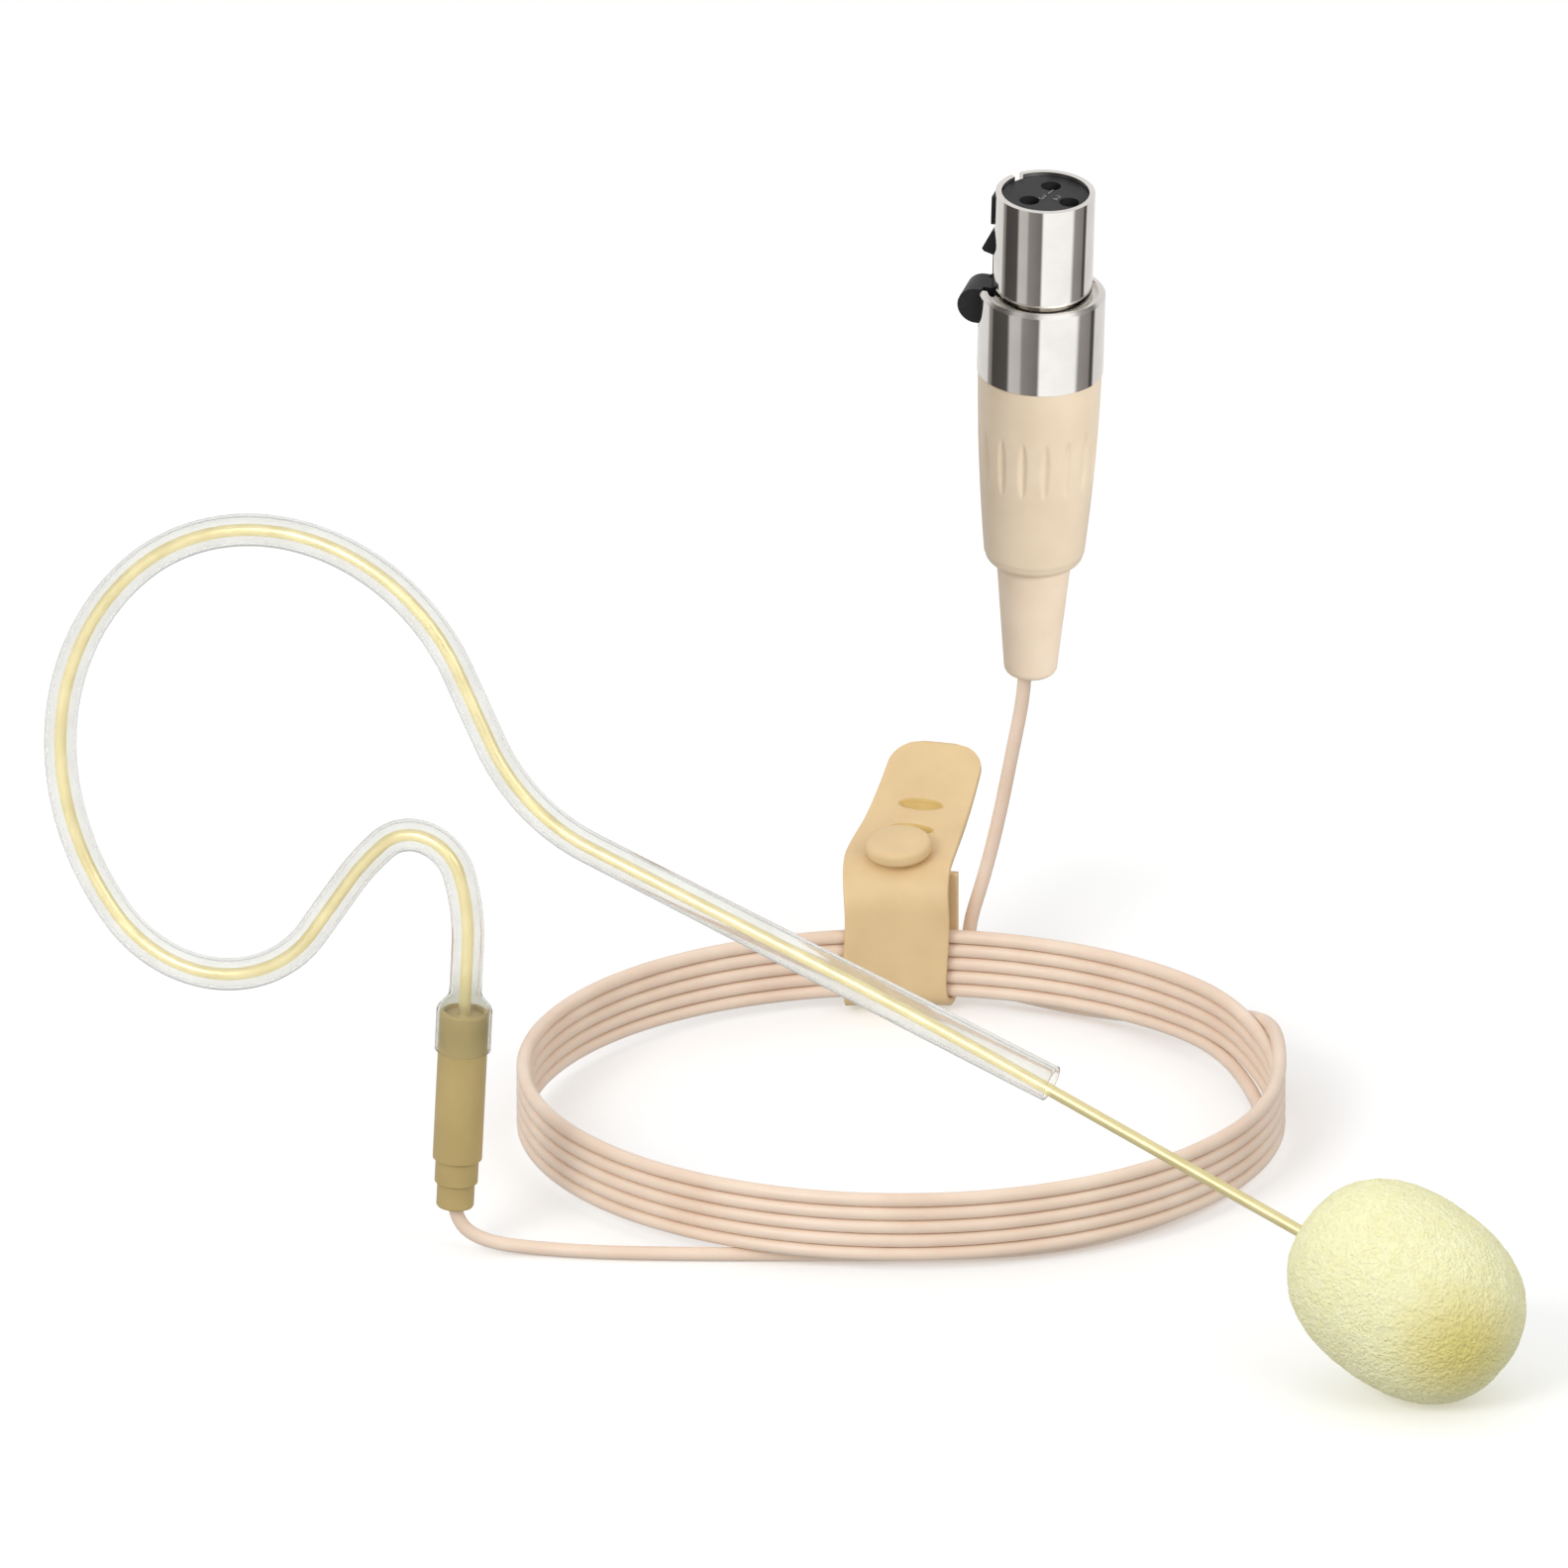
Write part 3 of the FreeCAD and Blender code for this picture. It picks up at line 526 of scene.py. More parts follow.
def make_materials():
    plain = {
        "boom_metal": Finish("boom_metal", ((232, 216, 158), (245, 232, 180)), (0.32, 0.4), 0.003,
                             0.0002, 0.000004, Metallic=0.75),
        "lead": Finish("lead", ((196, 128, 84), (214, 146, 100)), (0.3, 0.4), 0.002, 0.0002,
                       0.000004, Metallic=1.0),
        "cord": Finish("cord", ((237, 212, 190), (245, 224, 204)), (0.34, 0.42), 0.006, 0.0003,
                       0.000006, Subsurface_Weight=0.12, Subsurface_Scale=0.0004),
        "tie": Finish("tie", ((225, 195, 147), (234, 206, 157)), (0.42, 0.5), 0.005, 0.0004,
                      0.00001, Subsurface_Weight=0.15, Subsurface_Scale=0.0006),
        # Painted shade: darker yellow for the walls and floor of the tail's slits.
        "tie_slit_shade": Finish("tie_slit_shade", ((212, 180, 108), (221, 190, 118)), (0.5, 0.6), 0.002, 0.0004,
                           0.00001),
        "boot": Finish("boot", ((240, 219, 194), (246, 227, 203)), (0.4, 0.5), 0.004, 0.0004,
                       0.000008, Subsurface_Weight=0.1, Subsurface_Scale=0.0005),
        "handle": Finish("handle", ((232, 212, 184), (239, 220, 193)), (0.3, 0.36), 0.004,
                         0.0004, 0.000006),
        "barrel": Finish("barrel", ((184, 161, 104), (194, 171, 113)), (0.3, 0.38), 0.004, 0.0003,
                         0.000006),
        "chrome": Finish("chrome", ((226, 223, 218), (236, 233, 229)), (0.05, 0.09), 0.003,
                         0.0005, 0.0000008, Metallic=1.0),
        "black": Finish("black", ((36, 36, 38), (44, 44, 46)), (0.38, 0.5), 0.002, 0.00025,
                        0.00001, Specular_IOR_Level=0.25),
        "steel": Finish("steel", ((196, 196, 194), (214, 214, 212)), (0.2, 0.26), 0.001, 0.0001,
                        0.000002, Metallic=1.0),
        "gold": Finish("gold", ((226, 186, 98), (240, 204, 120)), (0.16, 0.24), 0.001, 0.0001,
                       0.000002, Metallic=1.0),
        "brass": Finish("brass", ((206, 170, 96), (220, 186, 112)), (0.28, 0.38), 0.001, 0.0001,
                        0.000003, Metallic=1.0),
        "board": Finish("board", ((38, 92, 58), (46, 106, 68)), (0.4, 0.5), 0.0008, 0.0001,
                        0.000004),
        "amber": Finish("amber", ((214, 196, 150), (224, 208, 164)), (0.4, 0.5), 0.001, 0.0002,
                        0.000004),
        "clamp": Finish("clamp", ((150, 150, 150), (164, 164, 164)), (0.4, 0.5), 0.001, 0.0002,
                        0.000006),
        "wire_red": Finish("wire_red", ((184, 44, 38), (200, 56, 48)), (0.4, 0.5), 0.001, 0.0002,
                           0.000004),
        "wire_white": Finish("wire_white", ((232, 230, 224), (242, 240, 235)), (0.4, 0.5), 0.001,
                             0.0002, 0.000004),
        "numerals": Finish("numerals", ((104, 104, 106), (118, 118, 120)), (0.4, 0.5), 0.001, 0.0002,
                           0.000004),
    }
    materials = {name: finish.material for name, finish in plain.items()}
    axis = Matrix.Rotation(math.radians(COIL_TURN), 3, "Z") @ PLUG_LEAN.normalized()
    plain["chrome"].satin_across(axis, 0.42)
    materials["silicone"] = silicone()
    materials["foam"] = foam_material()
    return materials


MATERIALS = make_materials()

NODE_LOOKS = {
    "barrel": ("splice_barrel", "barrel_ferrule", "barrel_bush", "cord_gland"),
    "brass": ("splice_crimp",),
    "cord": ("gland_jacket_end", "plug_jacket_end"),
    "gold": ("capsule_can", "capsule_backplate", "contact_1", "contact_2", "contact_3"),
    "steel": ("capsule_grille", "capsule_diaphragm", "latch_pin", "latch_spring"),
    "amber": ("capsule_spacer", "capsule_holder"),
    "board": ("capsule_board",),
    "black": ("capsule_transistor", "plug_insert", "latch_lever"),
    "chrome": ("plug_nose", "plug_collar"),
    "clamp": ("cable_clamp",),
    "wire_red": ("conductor_1",),
    "wire_white": ("conductor_2", "conductor_3"),
}


def dress_cad_nodes():
    for look, nodes in NODE_LOOKS.items():
        for node in nodes:
            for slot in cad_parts[node].material_slots:
                slot.material = MATERIALS[look]


# ---- Frames ----

def basis(x_axis, z_axis, origin):
    """A frame with this Z, and X as near to x_axis as that allows."""
    z_axis = z_axis.normalized()
    x_axis = (x_axis - z_axis * x_axis.dot(z_axis)).normalized()
    matrix = Matrix((x_axis, z_axis.cross(x_axis), z_axis)).transposed().to_4x4()
    matrix.translation = origin
    return matrix


COIL_FRAME = Matrix.Translation(COIL_CENTRE) @ Matrix.Rotation(math.radians(COIL_TURN), 4, "Z")
TIE_FRAME = COIL_FRAME @ Matrix.Rotation(math.radians(TIE_ANGLE), 4, "Z")
PLUG_FRAME = COIL_FRAME @ basis(polar(1, LATCH_SIDE), PLUG_LEAN, PLUG_FOOT)


# ---- Headset ----

def tube_steps(foot):
    """The boom tube's path from a place on the barrel, with its droop inside the sleeve."""
    droop_radius = DROOP_RUN / math.radians(-DROOP_TURN)
    return [("run", BARREL_RUN - foot, 0), *EAR_HOOK, ("run", BOOM_RUN - DROOP_RUN, 0),
            ("arc", droop_radius, DROOP_TURN)]


def bent(piece, *nodes):
    """A piece that runs from the ear hook into the boom: its place goes into its mesh, and the
    model's parts it stands for are hidden.
    """
    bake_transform(piece)
    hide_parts(*nodes)


def sleeve():
    steps = [("run", BARREL_RUN - FLARE_FOOT, 0), *EAR_HOOK, ("run", BOOM_RUN, 0)]
    samples = plane_samples(barrel_point(FLARE_FOOT), BARREL_HEADING, steps, spacing=0.00035)
    end = samples[-1][0]
    stations = [
        (0, FLARE_R - LIP, FLARE_BORE_R + LIP),
        (LIP, FLARE_R, FLARE_BORE_R),
        (FLARE_TOP - FLARE_FOOT, FLARE_R, FLARE_BORE_R),
        (SHOULDER_TOP - FLARE_FOOT, SLEEVE_R, SLEEVE_BORE_R),
        (end - BOOM_RUN, SLEEVE_R, SLEEVE_BORE_R),
        (end - LIP, MOUTH_R, MOUTH_BORE_R),
        (end, MOUTH_R - LIP, MOUTH_BORE_R + LIP),
    ]
    for place in (LIP, end - LIP):
        nearest = min(samples, key=lambda sample: abs(sample[0] - place))
        shift = place - nearest[0]
        rim = (place, nearest[1] + heading_vector(nearest[2]) * shift, nearest[2])
        samples.append(rim)
    samples.sort(key=lambda sample: sample[0])
    piece = hollow_tube("silicone_sleeve", samples, stations, 40, MATERIALS["silicone"])
    piece.visible_shadow = False    # clear, so it keeps no light from the tube inside
    bent(piece, "ear_hook_sleeve", "boom_sleeve")


def metal_tube():
    steps = tube_steps(WIRE_FOOT) + [("run", WIRE_REACH, 0)]
    samples = plane_samples(barrel_point(WIRE_FOOT), BARREL_HEADING, steps, spacing=0.0005)
    stations = [(0, WIRE_R, WIRE_BORE_R), (samples[-1][0], WIRE_R, WIRE_BORE_R)]
    piece = hollow_tube("metal_tube", samples, stations, 24, MATERIALS["boom_metal"])
    bent(piece, "ear_hook_tube", "boom_tube")


def lead():
    steps = tube_steps(LEAD_FOOT) + [("run", LEAD_REACH, 0)]
    samples = plane_samples(barrel_point(LEAD_FOOT), BARREL_HEADING, steps, spacing=0.0006)
    rings = [round_ring(point, heading, LEAD_R, 10) for _, point, heading in samples]
    piece = skin("inner_lead", rings, MATERIALS["lead"])
    bent(piece, "ear_hook_lead", "boom_lead")


def tip_frame():
    """Frame at the sleeve's mouth, with +Z along the boom's tip."""
    samples = plane_samples(barrel_point(0), BARREL_HEADING, tube_steps(0), spacing=0.001)
    _, point, heading = samples[-1]
    return basis(Vector((0, 1, 0)), heading_vector(heading), point)


def foam():
    """Windscreen: a tilted egg with open cells, a narrow mouth and a pocket for the capsule."""
    tip = tip_frame()
    middle = Vector((0, 0, FOAM_FOOT + FOAM_LENGTH / 2))
    nose_down = Matrix.Rotation(math.radians(FOAM_TILT), 4, Vector((1, 0, 0)))
    to_row = tip @ Matrix.Translation(middle) @ nose_down
    bpy.ops.mesh.primitive_ico_sphere_add(subdivisions=7, radius=1)
    piece = bpy.context.object
    piece.name = piece.data.name = "foam_cover"
    for vertex in piece.data.vertices:
        normal = vertex.co.normalized()
        across = math.hypot(normal.x, normal.y)
        size = (across ** FOAM_FULLNESS + abs(normal.z) ** FOAM_FULLNESS) ** (-1 / FOAM_FULLNESS)
        spot = Vector((normal.x * FOAM_R, normal.y * FOAM_R, normal.z * FOAM_LENGTH / 2)) * size
        cells = 1 - 3 * abs(noise.noise(spot / FOAM_CELL))
        clumps = noise.noise(spot / (3 * FOAM_CELL))
        depth = FOAM_ROUGHNESS * (cells + clumps - 1)
        vertex.co = to_row @ (spot + normal * depth)
    piece.data.materials.append(MATERIALS["foam"])
    piece.data.polygons.foreach_set("use_smooth", [True] * len(piece.data.polygons))
    bore = [
        (FOAM_MOUTH_R, FOAM_FOOT - FOAM_CUT_PAST), (FOAM_MOUTH_R, FOAM_FOOT + FOAM_MOUTH_DEPTH),
        (FOAM_BORE_R, FOAM_FOOT + FOAM_BORE_START), (FOAM_BORE_R, FOAM_FOOT + FOAM_BORE_DEPTH),
    ]
    cut(piece, turned("foam_bore", bore, 32, MATERIALS["foam"], tip))
    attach(piece, "windscreen")
    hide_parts("foam_windscreen")


# ---- Cord, tie and plug ----

def coil_height(angle):
    """Height of the cord's line in the coil, which climbs a row at the right of each turn."""
    turns, past = divmod(angle - ROW_CHANGE_START, 360)
    if turns == 0:
        return COIL_LOW
    return COIL_LOW + COIL_PITCH * (turns - 1 + smoothstep(past / ROW_CHANGE))


def cord():
    route = [Vector(point) for point in HEADSET_LEAD]
    for angle in range(COIL_FIRST, COIL_LAST + 1, COIL_STEP):
        route.append(polar(COIL_R / SPLINE_SHRINK, angle, coil_height(angle)))
    route += [Vector(point) for point in reversed(PLUG_LEAD)]
    curve = bpy.data.curves.new("cord", "CURVE")
    curve.dimensions = "3D"
    spline = curve.splines.new("NURBS")
    spline.points.add(len(route) - 1)
    for point, place in zip(spline.points, route):
        point.co = (*(COIL_FRAME @ place), 1)
    spline.order_u = 3
    spline.use_endpoint_u = True
    spline.resolution_u = 8
    curve.bevel_depth = CORD_R
    curve.bevel_resolution = 6
    curve.use_fill_caps = True
    curve.materials.append(MATERIALS["cord"])
    piece = bpy.data.objects.new("cord", curve)
    bpy.context.scene.collection.objects.link(piece)
    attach(piece, "headset")
    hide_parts("cord_headset_lead", "cord_coil", "cord_plug_lead")


def strap_section(half_width, half_thickness, edge_r, across=18):
    """A flat strap's rounded outline as (across, up) offsets."""
    reach = half_width - edge_r
    rise = half_thickness - edge_r
    outline = []
    for side in (1, -1):
        for index in range(across):
            outline.append((side * reach * (1 - 2 * index / (across - 1)), side * half_thickness))
        for angle in (120, 150, 180):
            spot = polar(edge_r, angle)
            outline.append((side * (spot.x - reach), side * (rise + spot.y)))
        for angle in (210, 240):
            spot = polar(edge_r, angle)
            outline.append((side * (spot.x - reach), side * (spot.y - rise)))
    return outline


def tail_half_width(left):
    """Half the tail's width at a distance from its end: a slight taper, then big round corners."""
    taper = (TIE_HALF_WIDTH - TIE_TAIL_HALF_WIDTH) * min(left / TIE_TAIL_LENGTH, 1)
    drop = max(TIE_TAIL_CORNER_R - left, 0)
    corner = math.sqrt(max(TIE_TAIL_CORNER_R ** 2 - drop ** 2, 0))
    return TIE_TAIL_HALF_WIDTH + taper - TIE_TAIL_CORNER_R + corner


def tie_path():
    gap = CORD_R + TIE_CLEARANCE + TIE_HALF_THICKNESS
    curl_radius = TIE_TAIL_LENGTH / math.radians(TIE_TAIL_CURL)
    steps = [
        ("run", TIE_BACK_TOP - COIL_LOW, 0), ("arc", gap, -180), ("run", TIE_FRONT_RUN, 0),
        ("arc", TIE_BEND_R, -TIE_BUTTON_LEAN), ("arc", curl_radius, TIE_TAIL_CURL),
    ]
    return plane_samples(Vector((COIL_R + gap, 0, TIE_BACK_TOP)), -90, steps, spacing=0.00025)


def slot_cutter(slot_frame, count=28):
    """A slit across the front of the tail, closed by a thin web at its back; its faces stay on the
    strap as the slit's walls, in a darker painted shade.
    """
    rings = []
    for height, half_width, half_length in TIE_SLIT:
        ring = []
        for index in range(count):
            spot = polar(1, 360 / count * index)
            ring.append(slot_frame @ Vector((spot.x * half_width, spot.y * half_length, height)))
        rings.append(ring)
    return skin("slot_cutter", rings, MATERIALS["tie_slit_shade"])


def tie():
    """Strap round the coil that turns into its slotted tail, and the button through it."""
    samples = tie_path()
    length = samples[-1][0]
    tail_start = length - TIE_TAIL_LENGTH

    def at(along):
        """The sample at a distance up the tail."""
        return min(samples, key=lambda sample: abs(sample[0] - tail_start - along))

    hinge = at(0)[1]
    yaw = (Matrix.Translation(hinge) @ Matrix.Rotation(math.radians(TIE_TAIL_YAW), 4, "Z")
           @ Matrix.Translation(-hinge))

    def tail_frame(along):
        """Frame on the tail, with +X along it and +Z out of its front."""
        _, point, heading = at(along)
        return TIE_FRAME @ yaw @ basis(heading_vector(heading), heading_vector(heading + 90), point)

    rings = []
    for distance, point, heading in samples:
        along = distance - tail_start
        share = smoothstep((along + TIE_TURN_BEFORE) / (TIE_TURN_BEFORE + TIE_TURN_AFTER))
        drift = profile_at(TIE_DRIFT, distance)[0]
        up = heading_vector(heading + 90)
        band = strap_section(TIE_HALF_WIDTH, TIE_HALF_THICKNESS, TIE_EDGE_R)
        tail = strap_section(tail_half_width(length - distance), TIE_HALF_THICKNESS, TIE_EDGE_R)
        ring = []
        for band_spot, tail_spot in zip(band, tail):
            round_coil = Matrix.Rotation((band_spot[0] + drift) / COIL_R, 4, "Z")
            on_band = round_coil @ (point + up * band_spot[1])
            on_tail = yaw @ (point + up * tail_spot[1] + Vector((0, tail_spot[0], 0)))
            ring.append(TIE_FRAME @ on_band.lerp(on_tail, share))
        rings.append(ring)
    strap = skin("tie_strap", rings, MATERIALS["tie"])
    cut(strap, *[slot_cutter(tail_frame(place)) for place in TIE_SLOTS])

    foot = TIE_HALF_THICKNESS + BUTTON_RISE
    top = foot + BUTTON_HEIGHT
    rim = BUTTON_R - BUTTON_EDGE_R
    outline = [(BUTTON_NECK_R, -2 * TIE_HALF_THICKNESS), (BUTTON_NECK_R, foot)]
    outline += quarter(rim, foot + BUTTON_EDGE_R, BUTTON_EDGE_R, -90, 0)
    outline += quarter(rim, top - BUTTON_EDGE_R, BUTTON_EDGE_R, 0, 90)
    outline += [(rim * share, top + rise) for share, rise in BUTTON_DOME]
    button = turned("tie_button", outline, 48, MATERIALS["tie"], tail_frame(0))
    for piece in (strap, button):
        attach(piece, "tie")
    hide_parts("cable_tie")
    return [strap, button]


def grip():
    """Tapered hand grip with shallow slits round its waist."""
    def radius_at(height):
        """The side bulges a little between its foot and its top."""
        share = (height - GRIP_FOOT) / (GRIP_TOP - GRIP_FOOT)
        straight = GRIP_FOOT_R + (GRIP_TOP_R - GRIP_FOOT_R) * share
        return straight + 4 * GRIP_BULGE * share * (1 - share)

    def groove(angle, height):
        """Depth of the nearest slit: a narrow lens along the grip."""
        along = abs(height - GROOVE_MIDDLE) / (GROOVE_LENGTH / 2)
        if along >= 1:
            return 0
        step = 360 / GROOVES
        across = abs((angle + step / 2) % step - step / 2) * math.radians(1) * GRIP_TOP_R
        width = GROOVE_HALF_WIDTH * math.sqrt(1 - along * along)
        return GROOVE_DEPTH * (1 - smoothstep(across / width)) * (1 - along ** 4)

    neck_r = BOOT_NECK_R + GRIP_NECK_GAP
    outline = [(neck_r, GRIP_FOOT), (GRIP_FOOT_R - GRIP_EDGE_R, GRIP_FOOT)]
    outline += quarter(GRIP_FOOT_R - GRIP_EDGE_R, GRIP_FOOT + GRIP_EDGE_R, GRIP_EDGE_R, -80, 0)
    first = GRIP_FOOT + GRIP_EDGE_R
    last = GRIP_TOP - GRIP_TOP_CHAMFER
    for index in range(1, GRIP_ROWS + 1):
        height = first + (last - first) * index / GRIP_ROWS
        outline.append((radius_at(height), height))
    outline += [
        (GRIP_TOP_R - GRIP_TOP_CHAMFER, GRIP_TOP), (GRIP_BORE_R, GRIP_TOP),
        (GRIP_BORE_R, GRIP_TOP - GRIP_BORE_DEPTH), (GRIP_CORE_R, GRIP_TOP - GRIP_CORE_DEPTH),
        (GRIP_CORE_R, GRIP_FOOT + GRIP_FLOOR), (neck_r, GRIP_FOOT + GRIP_FLOOR),
    ]
    rings = []
    for radius, height in outline:
        ring = []
        for index in range(GRIP_COLUMNS):
            angle = 360 / GRIP_COLUMNS * index
            depth = groove(angle, height) if radius > GRIP_FOOT_R else 0
            ring.append(PLUG_FRAME @ polar(radius - depth, angle, height))
        rings.append(ring)
    piece = skin("plug_grip", rings, MATERIALS["handle"], looped=True)
    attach(piece, "headset")
    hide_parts("plug_handle")
    return piece


def boot():
    """Soft cone behind the grip, with a hole for the cord a little off its middle."""
    outline = [(BOOT_CORE_R, 0)]
    outline += quarter(BOOT_FOOT_R - BOOT_EDGE_R, BOOT_EDGE_R, BOOT_EDGE_R, -90, -6)
    for index in range(1, 12):
        share = index / 12
        radius = BOOT_FOOT_R + (BOOT_TOP_R - BOOT_FOOT_R) * share
        outline.append((radius, BOOT_EDGE_R + (BOOT_TOP - BOOT_EDGE_R) * share))
    neck_top = BOOT_TOP + BOOT_NECK_HEIGHT
    outline += [
        (BOOT_TOP_R, BOOT_TOP - BOOT_TOP_CHAMFER), (BOOT_TOP_R - BOOT_TOP_CHAMFER, BOOT_TOP),
        (BOOT_NECK_R, BOOT_TOP), (BOOT_NECK_R, neck_top), (BOOT_CORE_R, neck_top),
    ]
    piece = turned("plug_boot_cover", outline, 64, MATERIALS["boot"], PLUG_FRAME)
    hole = [(CORD_R + gap, height) for gap, height in BOOT_HOLE]
    hole_frame = PLUG_FRAME @ Matrix.Translation(polar(JACKET_SHIFT, JACKET_SIDE))
    cut(piece, turned("boot_hole", hole, 32, MATERIALS["boot"], hole_frame))
    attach(piece, "headset")
    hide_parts("plug_boot")
    return piece


def numerals():
    """Raised pin numbers on the insert's face."""
    pieces = []
    middle = Vector((-PIN_CIRCLE_SHIFT, 0, INSERT_TOP + NUMERAL_LIFT))
    upright = Matrix.Rotation(math.radians(LATCH_SIDE), 4, "Z")
    for number, angle in enumerate(PIN_ANGLES, start=1):
        text = bpy.data.curves.new("pin_number_" + str(number), "FONT")
        text.body = str(number)
        text.size = NUMERAL_SIZE
        text.extrude = NUMERAL_DEPTH
        text.align_x = "CENTER"
        text.align_y = "CENTER"
        text.materials.append(MATERIALS["numerals"])
        piece = bpy.data.objects.new(text.name, text)
        bpy.context.scene.collection.objects.link(piece)
        spot = middle + polar(PIN_CIRCLE_R * NUMERAL_CIRCLE, angle)
        piece.matrix_world = PLUG_FRAME @ Matrix.Translation(spot) @ upright
        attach(piece, "headset")
        pieces.append(piece)
    return pieces


PLUG_NODES = (
    "plug_nose", "plug_collar", "plug_insert", "contact_1", "contact_2",
    "contact_3", "conductor_1", "conductor_2", "conductor_3", "latch_lever", "latch_pin",
    "latch_spring", "cable_clamp", "plug_jacket_end",
)


# ---- Stage ----

def floor():
    bpy.ops.mesh.primitive_plane_add(size=FLOOR_SIZE)
    plane = bpy.context.object
    plane.name = "floor"
    material = bpy.data.materials.new("floor")
    material.use_nodes = True
    shader = material.node_tree.nodes["Principled BSDF"]
    shader.inputs["Base Color"].default_value = (FLOOR_WHITE, FLOOR_WHITE, FLOOR_WHITE, 1)
    shader.inputs["Roughness"].default_value = 1
    shader.inputs["Specular IOR Level"].default_value = 0
    shader.inputs["Emission Color"].default_value = (1, 1, 1, 1)
    shader.inputs["Emission Strength"].default_value = FLOOR_GLOW
    plane.data.materials.append(material)
    for rays in ("diffuse", "glossy"):
        setattr(plane, "visible_" + rays, False)


RING_BANDS = [                      # degrees round the plug from the camera, and brightness
    (-180, 0.86), (-101, 0.80), (-97, 0.34), (-90, 0.26), (-86, 0.07), (-54, 0.09),
    (-49, 0.62), (-32, 0.58), (-28, 0.30), (-4, 0.20), (0, 1.15), (56, 1.10), (63, 0.34),
    (86, 0.26), (89, 0.08), (96, 0.08), (101, 0.80), (180, 0.86),
]


def warm_grey(brightness):
    """Darker cards are a little browner."""
    warmth = CARD_WARMTH * max(1 - brightness, 0)
    return (brightness, brightness * (1 - 0.6 * warmth), brightness * (1 - warmth), 1)


def reflection_ring():
    """Studio cards as one ring round the plug, seen in reflections only."""
    bpy.ops.mesh.primitive_cylinder_add(
        vertices=96, radius=RING_RADIUS, depth=RING_TOP - RING_FOOT, end_fill_type="NOTHING")
    ring = bpy.context.object
    ring.name = "reflection_ring"
    ring.location = PLUG_FRAME.translation.xy.to_3d() + Vector((0, 0, (RING_FOOT + RING_TOP) / 2))
    ring.rotation_euler.z = math.radians(VIEW_AZIMUTH - 90)
    material = bpy.data.materials.new("reflection_ring")
    material.use_nodes = True
    nodes = material.node_tree.nodes
    links = material.node_tree.links
    nodes.clear()
    place = nodes.new("ShaderNodeTexCoord")
    angle = nodes.new("ShaderNodeTexGradient")
    angle.gradient_type = "RADIAL"
    links.new(place.outputs["Object"], angle.inputs["Vector"])
    ramp = nodes.new("ShaderNodeValToRGB")
    elements = ramp.color_ramp.elements
    elements[0].color = warm_grey(RING_BANDS[0][1])
    elements[1].color = warm_grey(RING_BANDS[-1][1])
    for degrees, brightness in RING_BANDS[1:-1]:
        elements.new(0.5 + degrees / 360).color = warm_grey(brightness)
    links.new(angle.outputs["Fac"], ramp.inputs["Fac"])
    glow = nodes.new("ShaderNodeEmission")
    links.new(ramp.outputs["Color"], glow.inputs["Color"])
    output = nodes.new("ShaderNodeOutputMaterial")
    links.new(glow.outputs["Emission"], output.inputs["Surface"])
    ring.data.materials.append(material)
    for rays in ("camera", "diffuse", "transmission", "volume_scatter", "shadow"):
        setattr(ring, "visible_" + rays, False)


def view_back(azimuth, elevation):
    """Unit vector from the object towards a viewer; azimuth 0 is in front, 90 at the right."""
    turn = math.radians(azimuth)
    rise = math.radians(elevation)
    level = Vector((math.sin(turn), -math.cos(turn), 0)) * math.cos(rise)
    return level + Vector((0, 0, math.sin(rise)))


def area_light(name, azimuth, elevation, distance, size, power):
    """A square softbox that looks at the object."""
    light = bpy.data.lights.new(name, "AREA")
    light.shape = "SQUARE"
    light.size = size
    light.energy = power
    lamp = bpy.data.objects.new(name, light)
    bpy.context.scene.collection.objects.link(lamp)
    direction = view_back(azimuth, elevation)
    lamp.location = VIEW_TARGET + direction * distance
    lamp.rotation_euler = direction.to_track_quat("Z", "Y").to_euler()
    return lamp


def link_light(lamp, pieces, state):
    """Keeps a lamp to these pieces (INCLUDE), or off them (EXCLUDE)."""
    group = bpy.data.collections.new(lamp.name + "_link")
    for piece in pieces:
        group.objects.link(piece)
    for member in group.collection_objects:
        member.light_linking.link_state = state
    lamp.light_linking.receiver_collection = group


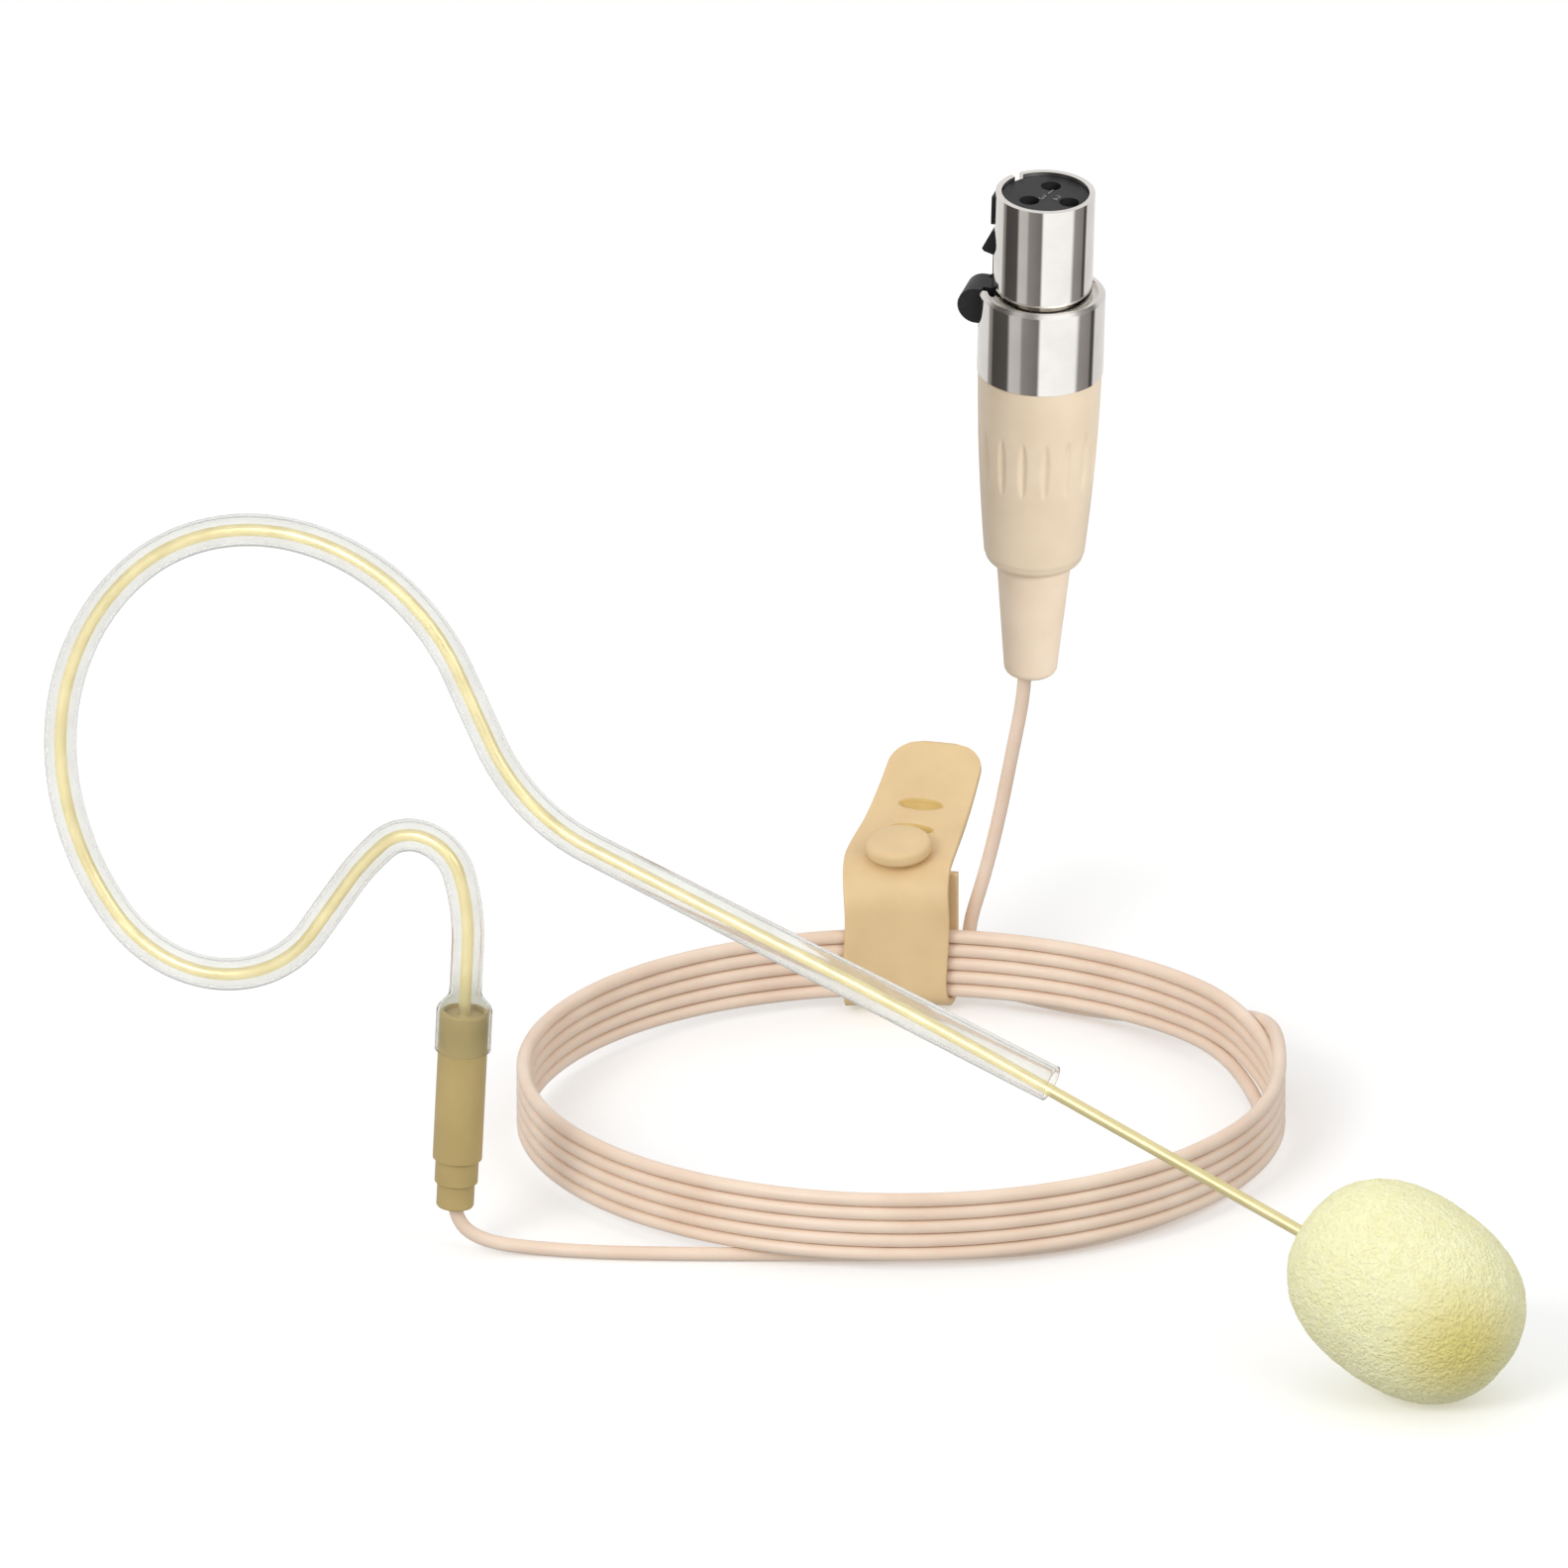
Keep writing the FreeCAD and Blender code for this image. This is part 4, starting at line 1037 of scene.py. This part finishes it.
def lamps(plug_pieces):
    """The plug has its key light at the right, everything else at the left."""
    for name, turn, rise, distance, size, power in LAMPS:
        lamp = area_light(name, VIEW_AZIMUTH + turn, rise, distance, size, power)
        if name in PLUG_LIGHT:
            link_light(lamp, plug_pieces, PLUG_LIGHT[name])


def sky():
    """White where the camera sees it; as a light, brighter above than below."""
    world = bpy.data.worlds.new("studio")
    world.use_nodes = True
    nodes = world.node_tree.nodes
    links = world.node_tree.links
    background = nodes["Background"]
    background.inputs["Color"].default_value = (1, 1, 1, 1)
    direction = nodes.new("ShaderNodeTexCoord")
    split = nodes.new("ShaderNodeSeparateXYZ")
    links.new(direction.outputs["Generated"], split.inputs["Vector"])
    by_height = nodes.new("ShaderNodeMapRange")
    by_height.inputs["From Min"].default_value = SKY_TURN[0]
    by_height.inputs["From Max"].default_value = SKY_TURN[1]
    by_height.inputs["To Min"].default_value = SKY_BELOW
    by_height.inputs["To Max"].default_value = SKY_ABOVE
    links.new(split.outputs["Z"], by_height.inputs["Value"])
    rays = nodes.new("ShaderNodeLightPath")
    strength = nodes.new("ShaderNodeMapRange")
    strength.inputs["To Max"].default_value = SKY_SEEN
    links.new(by_height.outputs["Result"], strength.inputs["To Min"])
    links.new(rays.outputs["Is Camera Ray"], strength.inputs["Value"])
    links.new(strength.outputs["Result"], background.inputs["Strength"])
    bpy.context.scene.world = world


def camera():
    data = bpy.data.cameras.new("camera")
    data.lens = LENS_MM
    data.sensor_width = SENSOR_MM
    data.clip_start = 0.1
    data.clip_end = 30
    eye = bpy.data.objects.new("camera", data)
    bpy.context.scene.collection.objects.link(eye)
    back = view_back(VIEW_AZIMUTH, VIEW_ELEVATION)
    eye.location = VIEW_TARGET + back * (VIEW_WIDTH * LENS_MM / SENSOR_MM - VIEW_DEPTH)
    eye.rotation_euler = back.to_track_quat("Z", "Y").to_euler()
    bpy.context.scene.camera = eye
    bpy.context.scene.view_settings.view_transform = "Standard"


dress_cad_nodes()
sleeve()
metal_tube()
lead()
foam()
tie_pieces = tie()
plug_covers = [grip(), boot()]
number_pieces = numerals()
plug_pieces = [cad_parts[node] for node in PLUG_NODES] + plug_covers + number_pieces
cord()
floor()
reflection_ring()
lamps(plug_pieces)
sky()
camera()
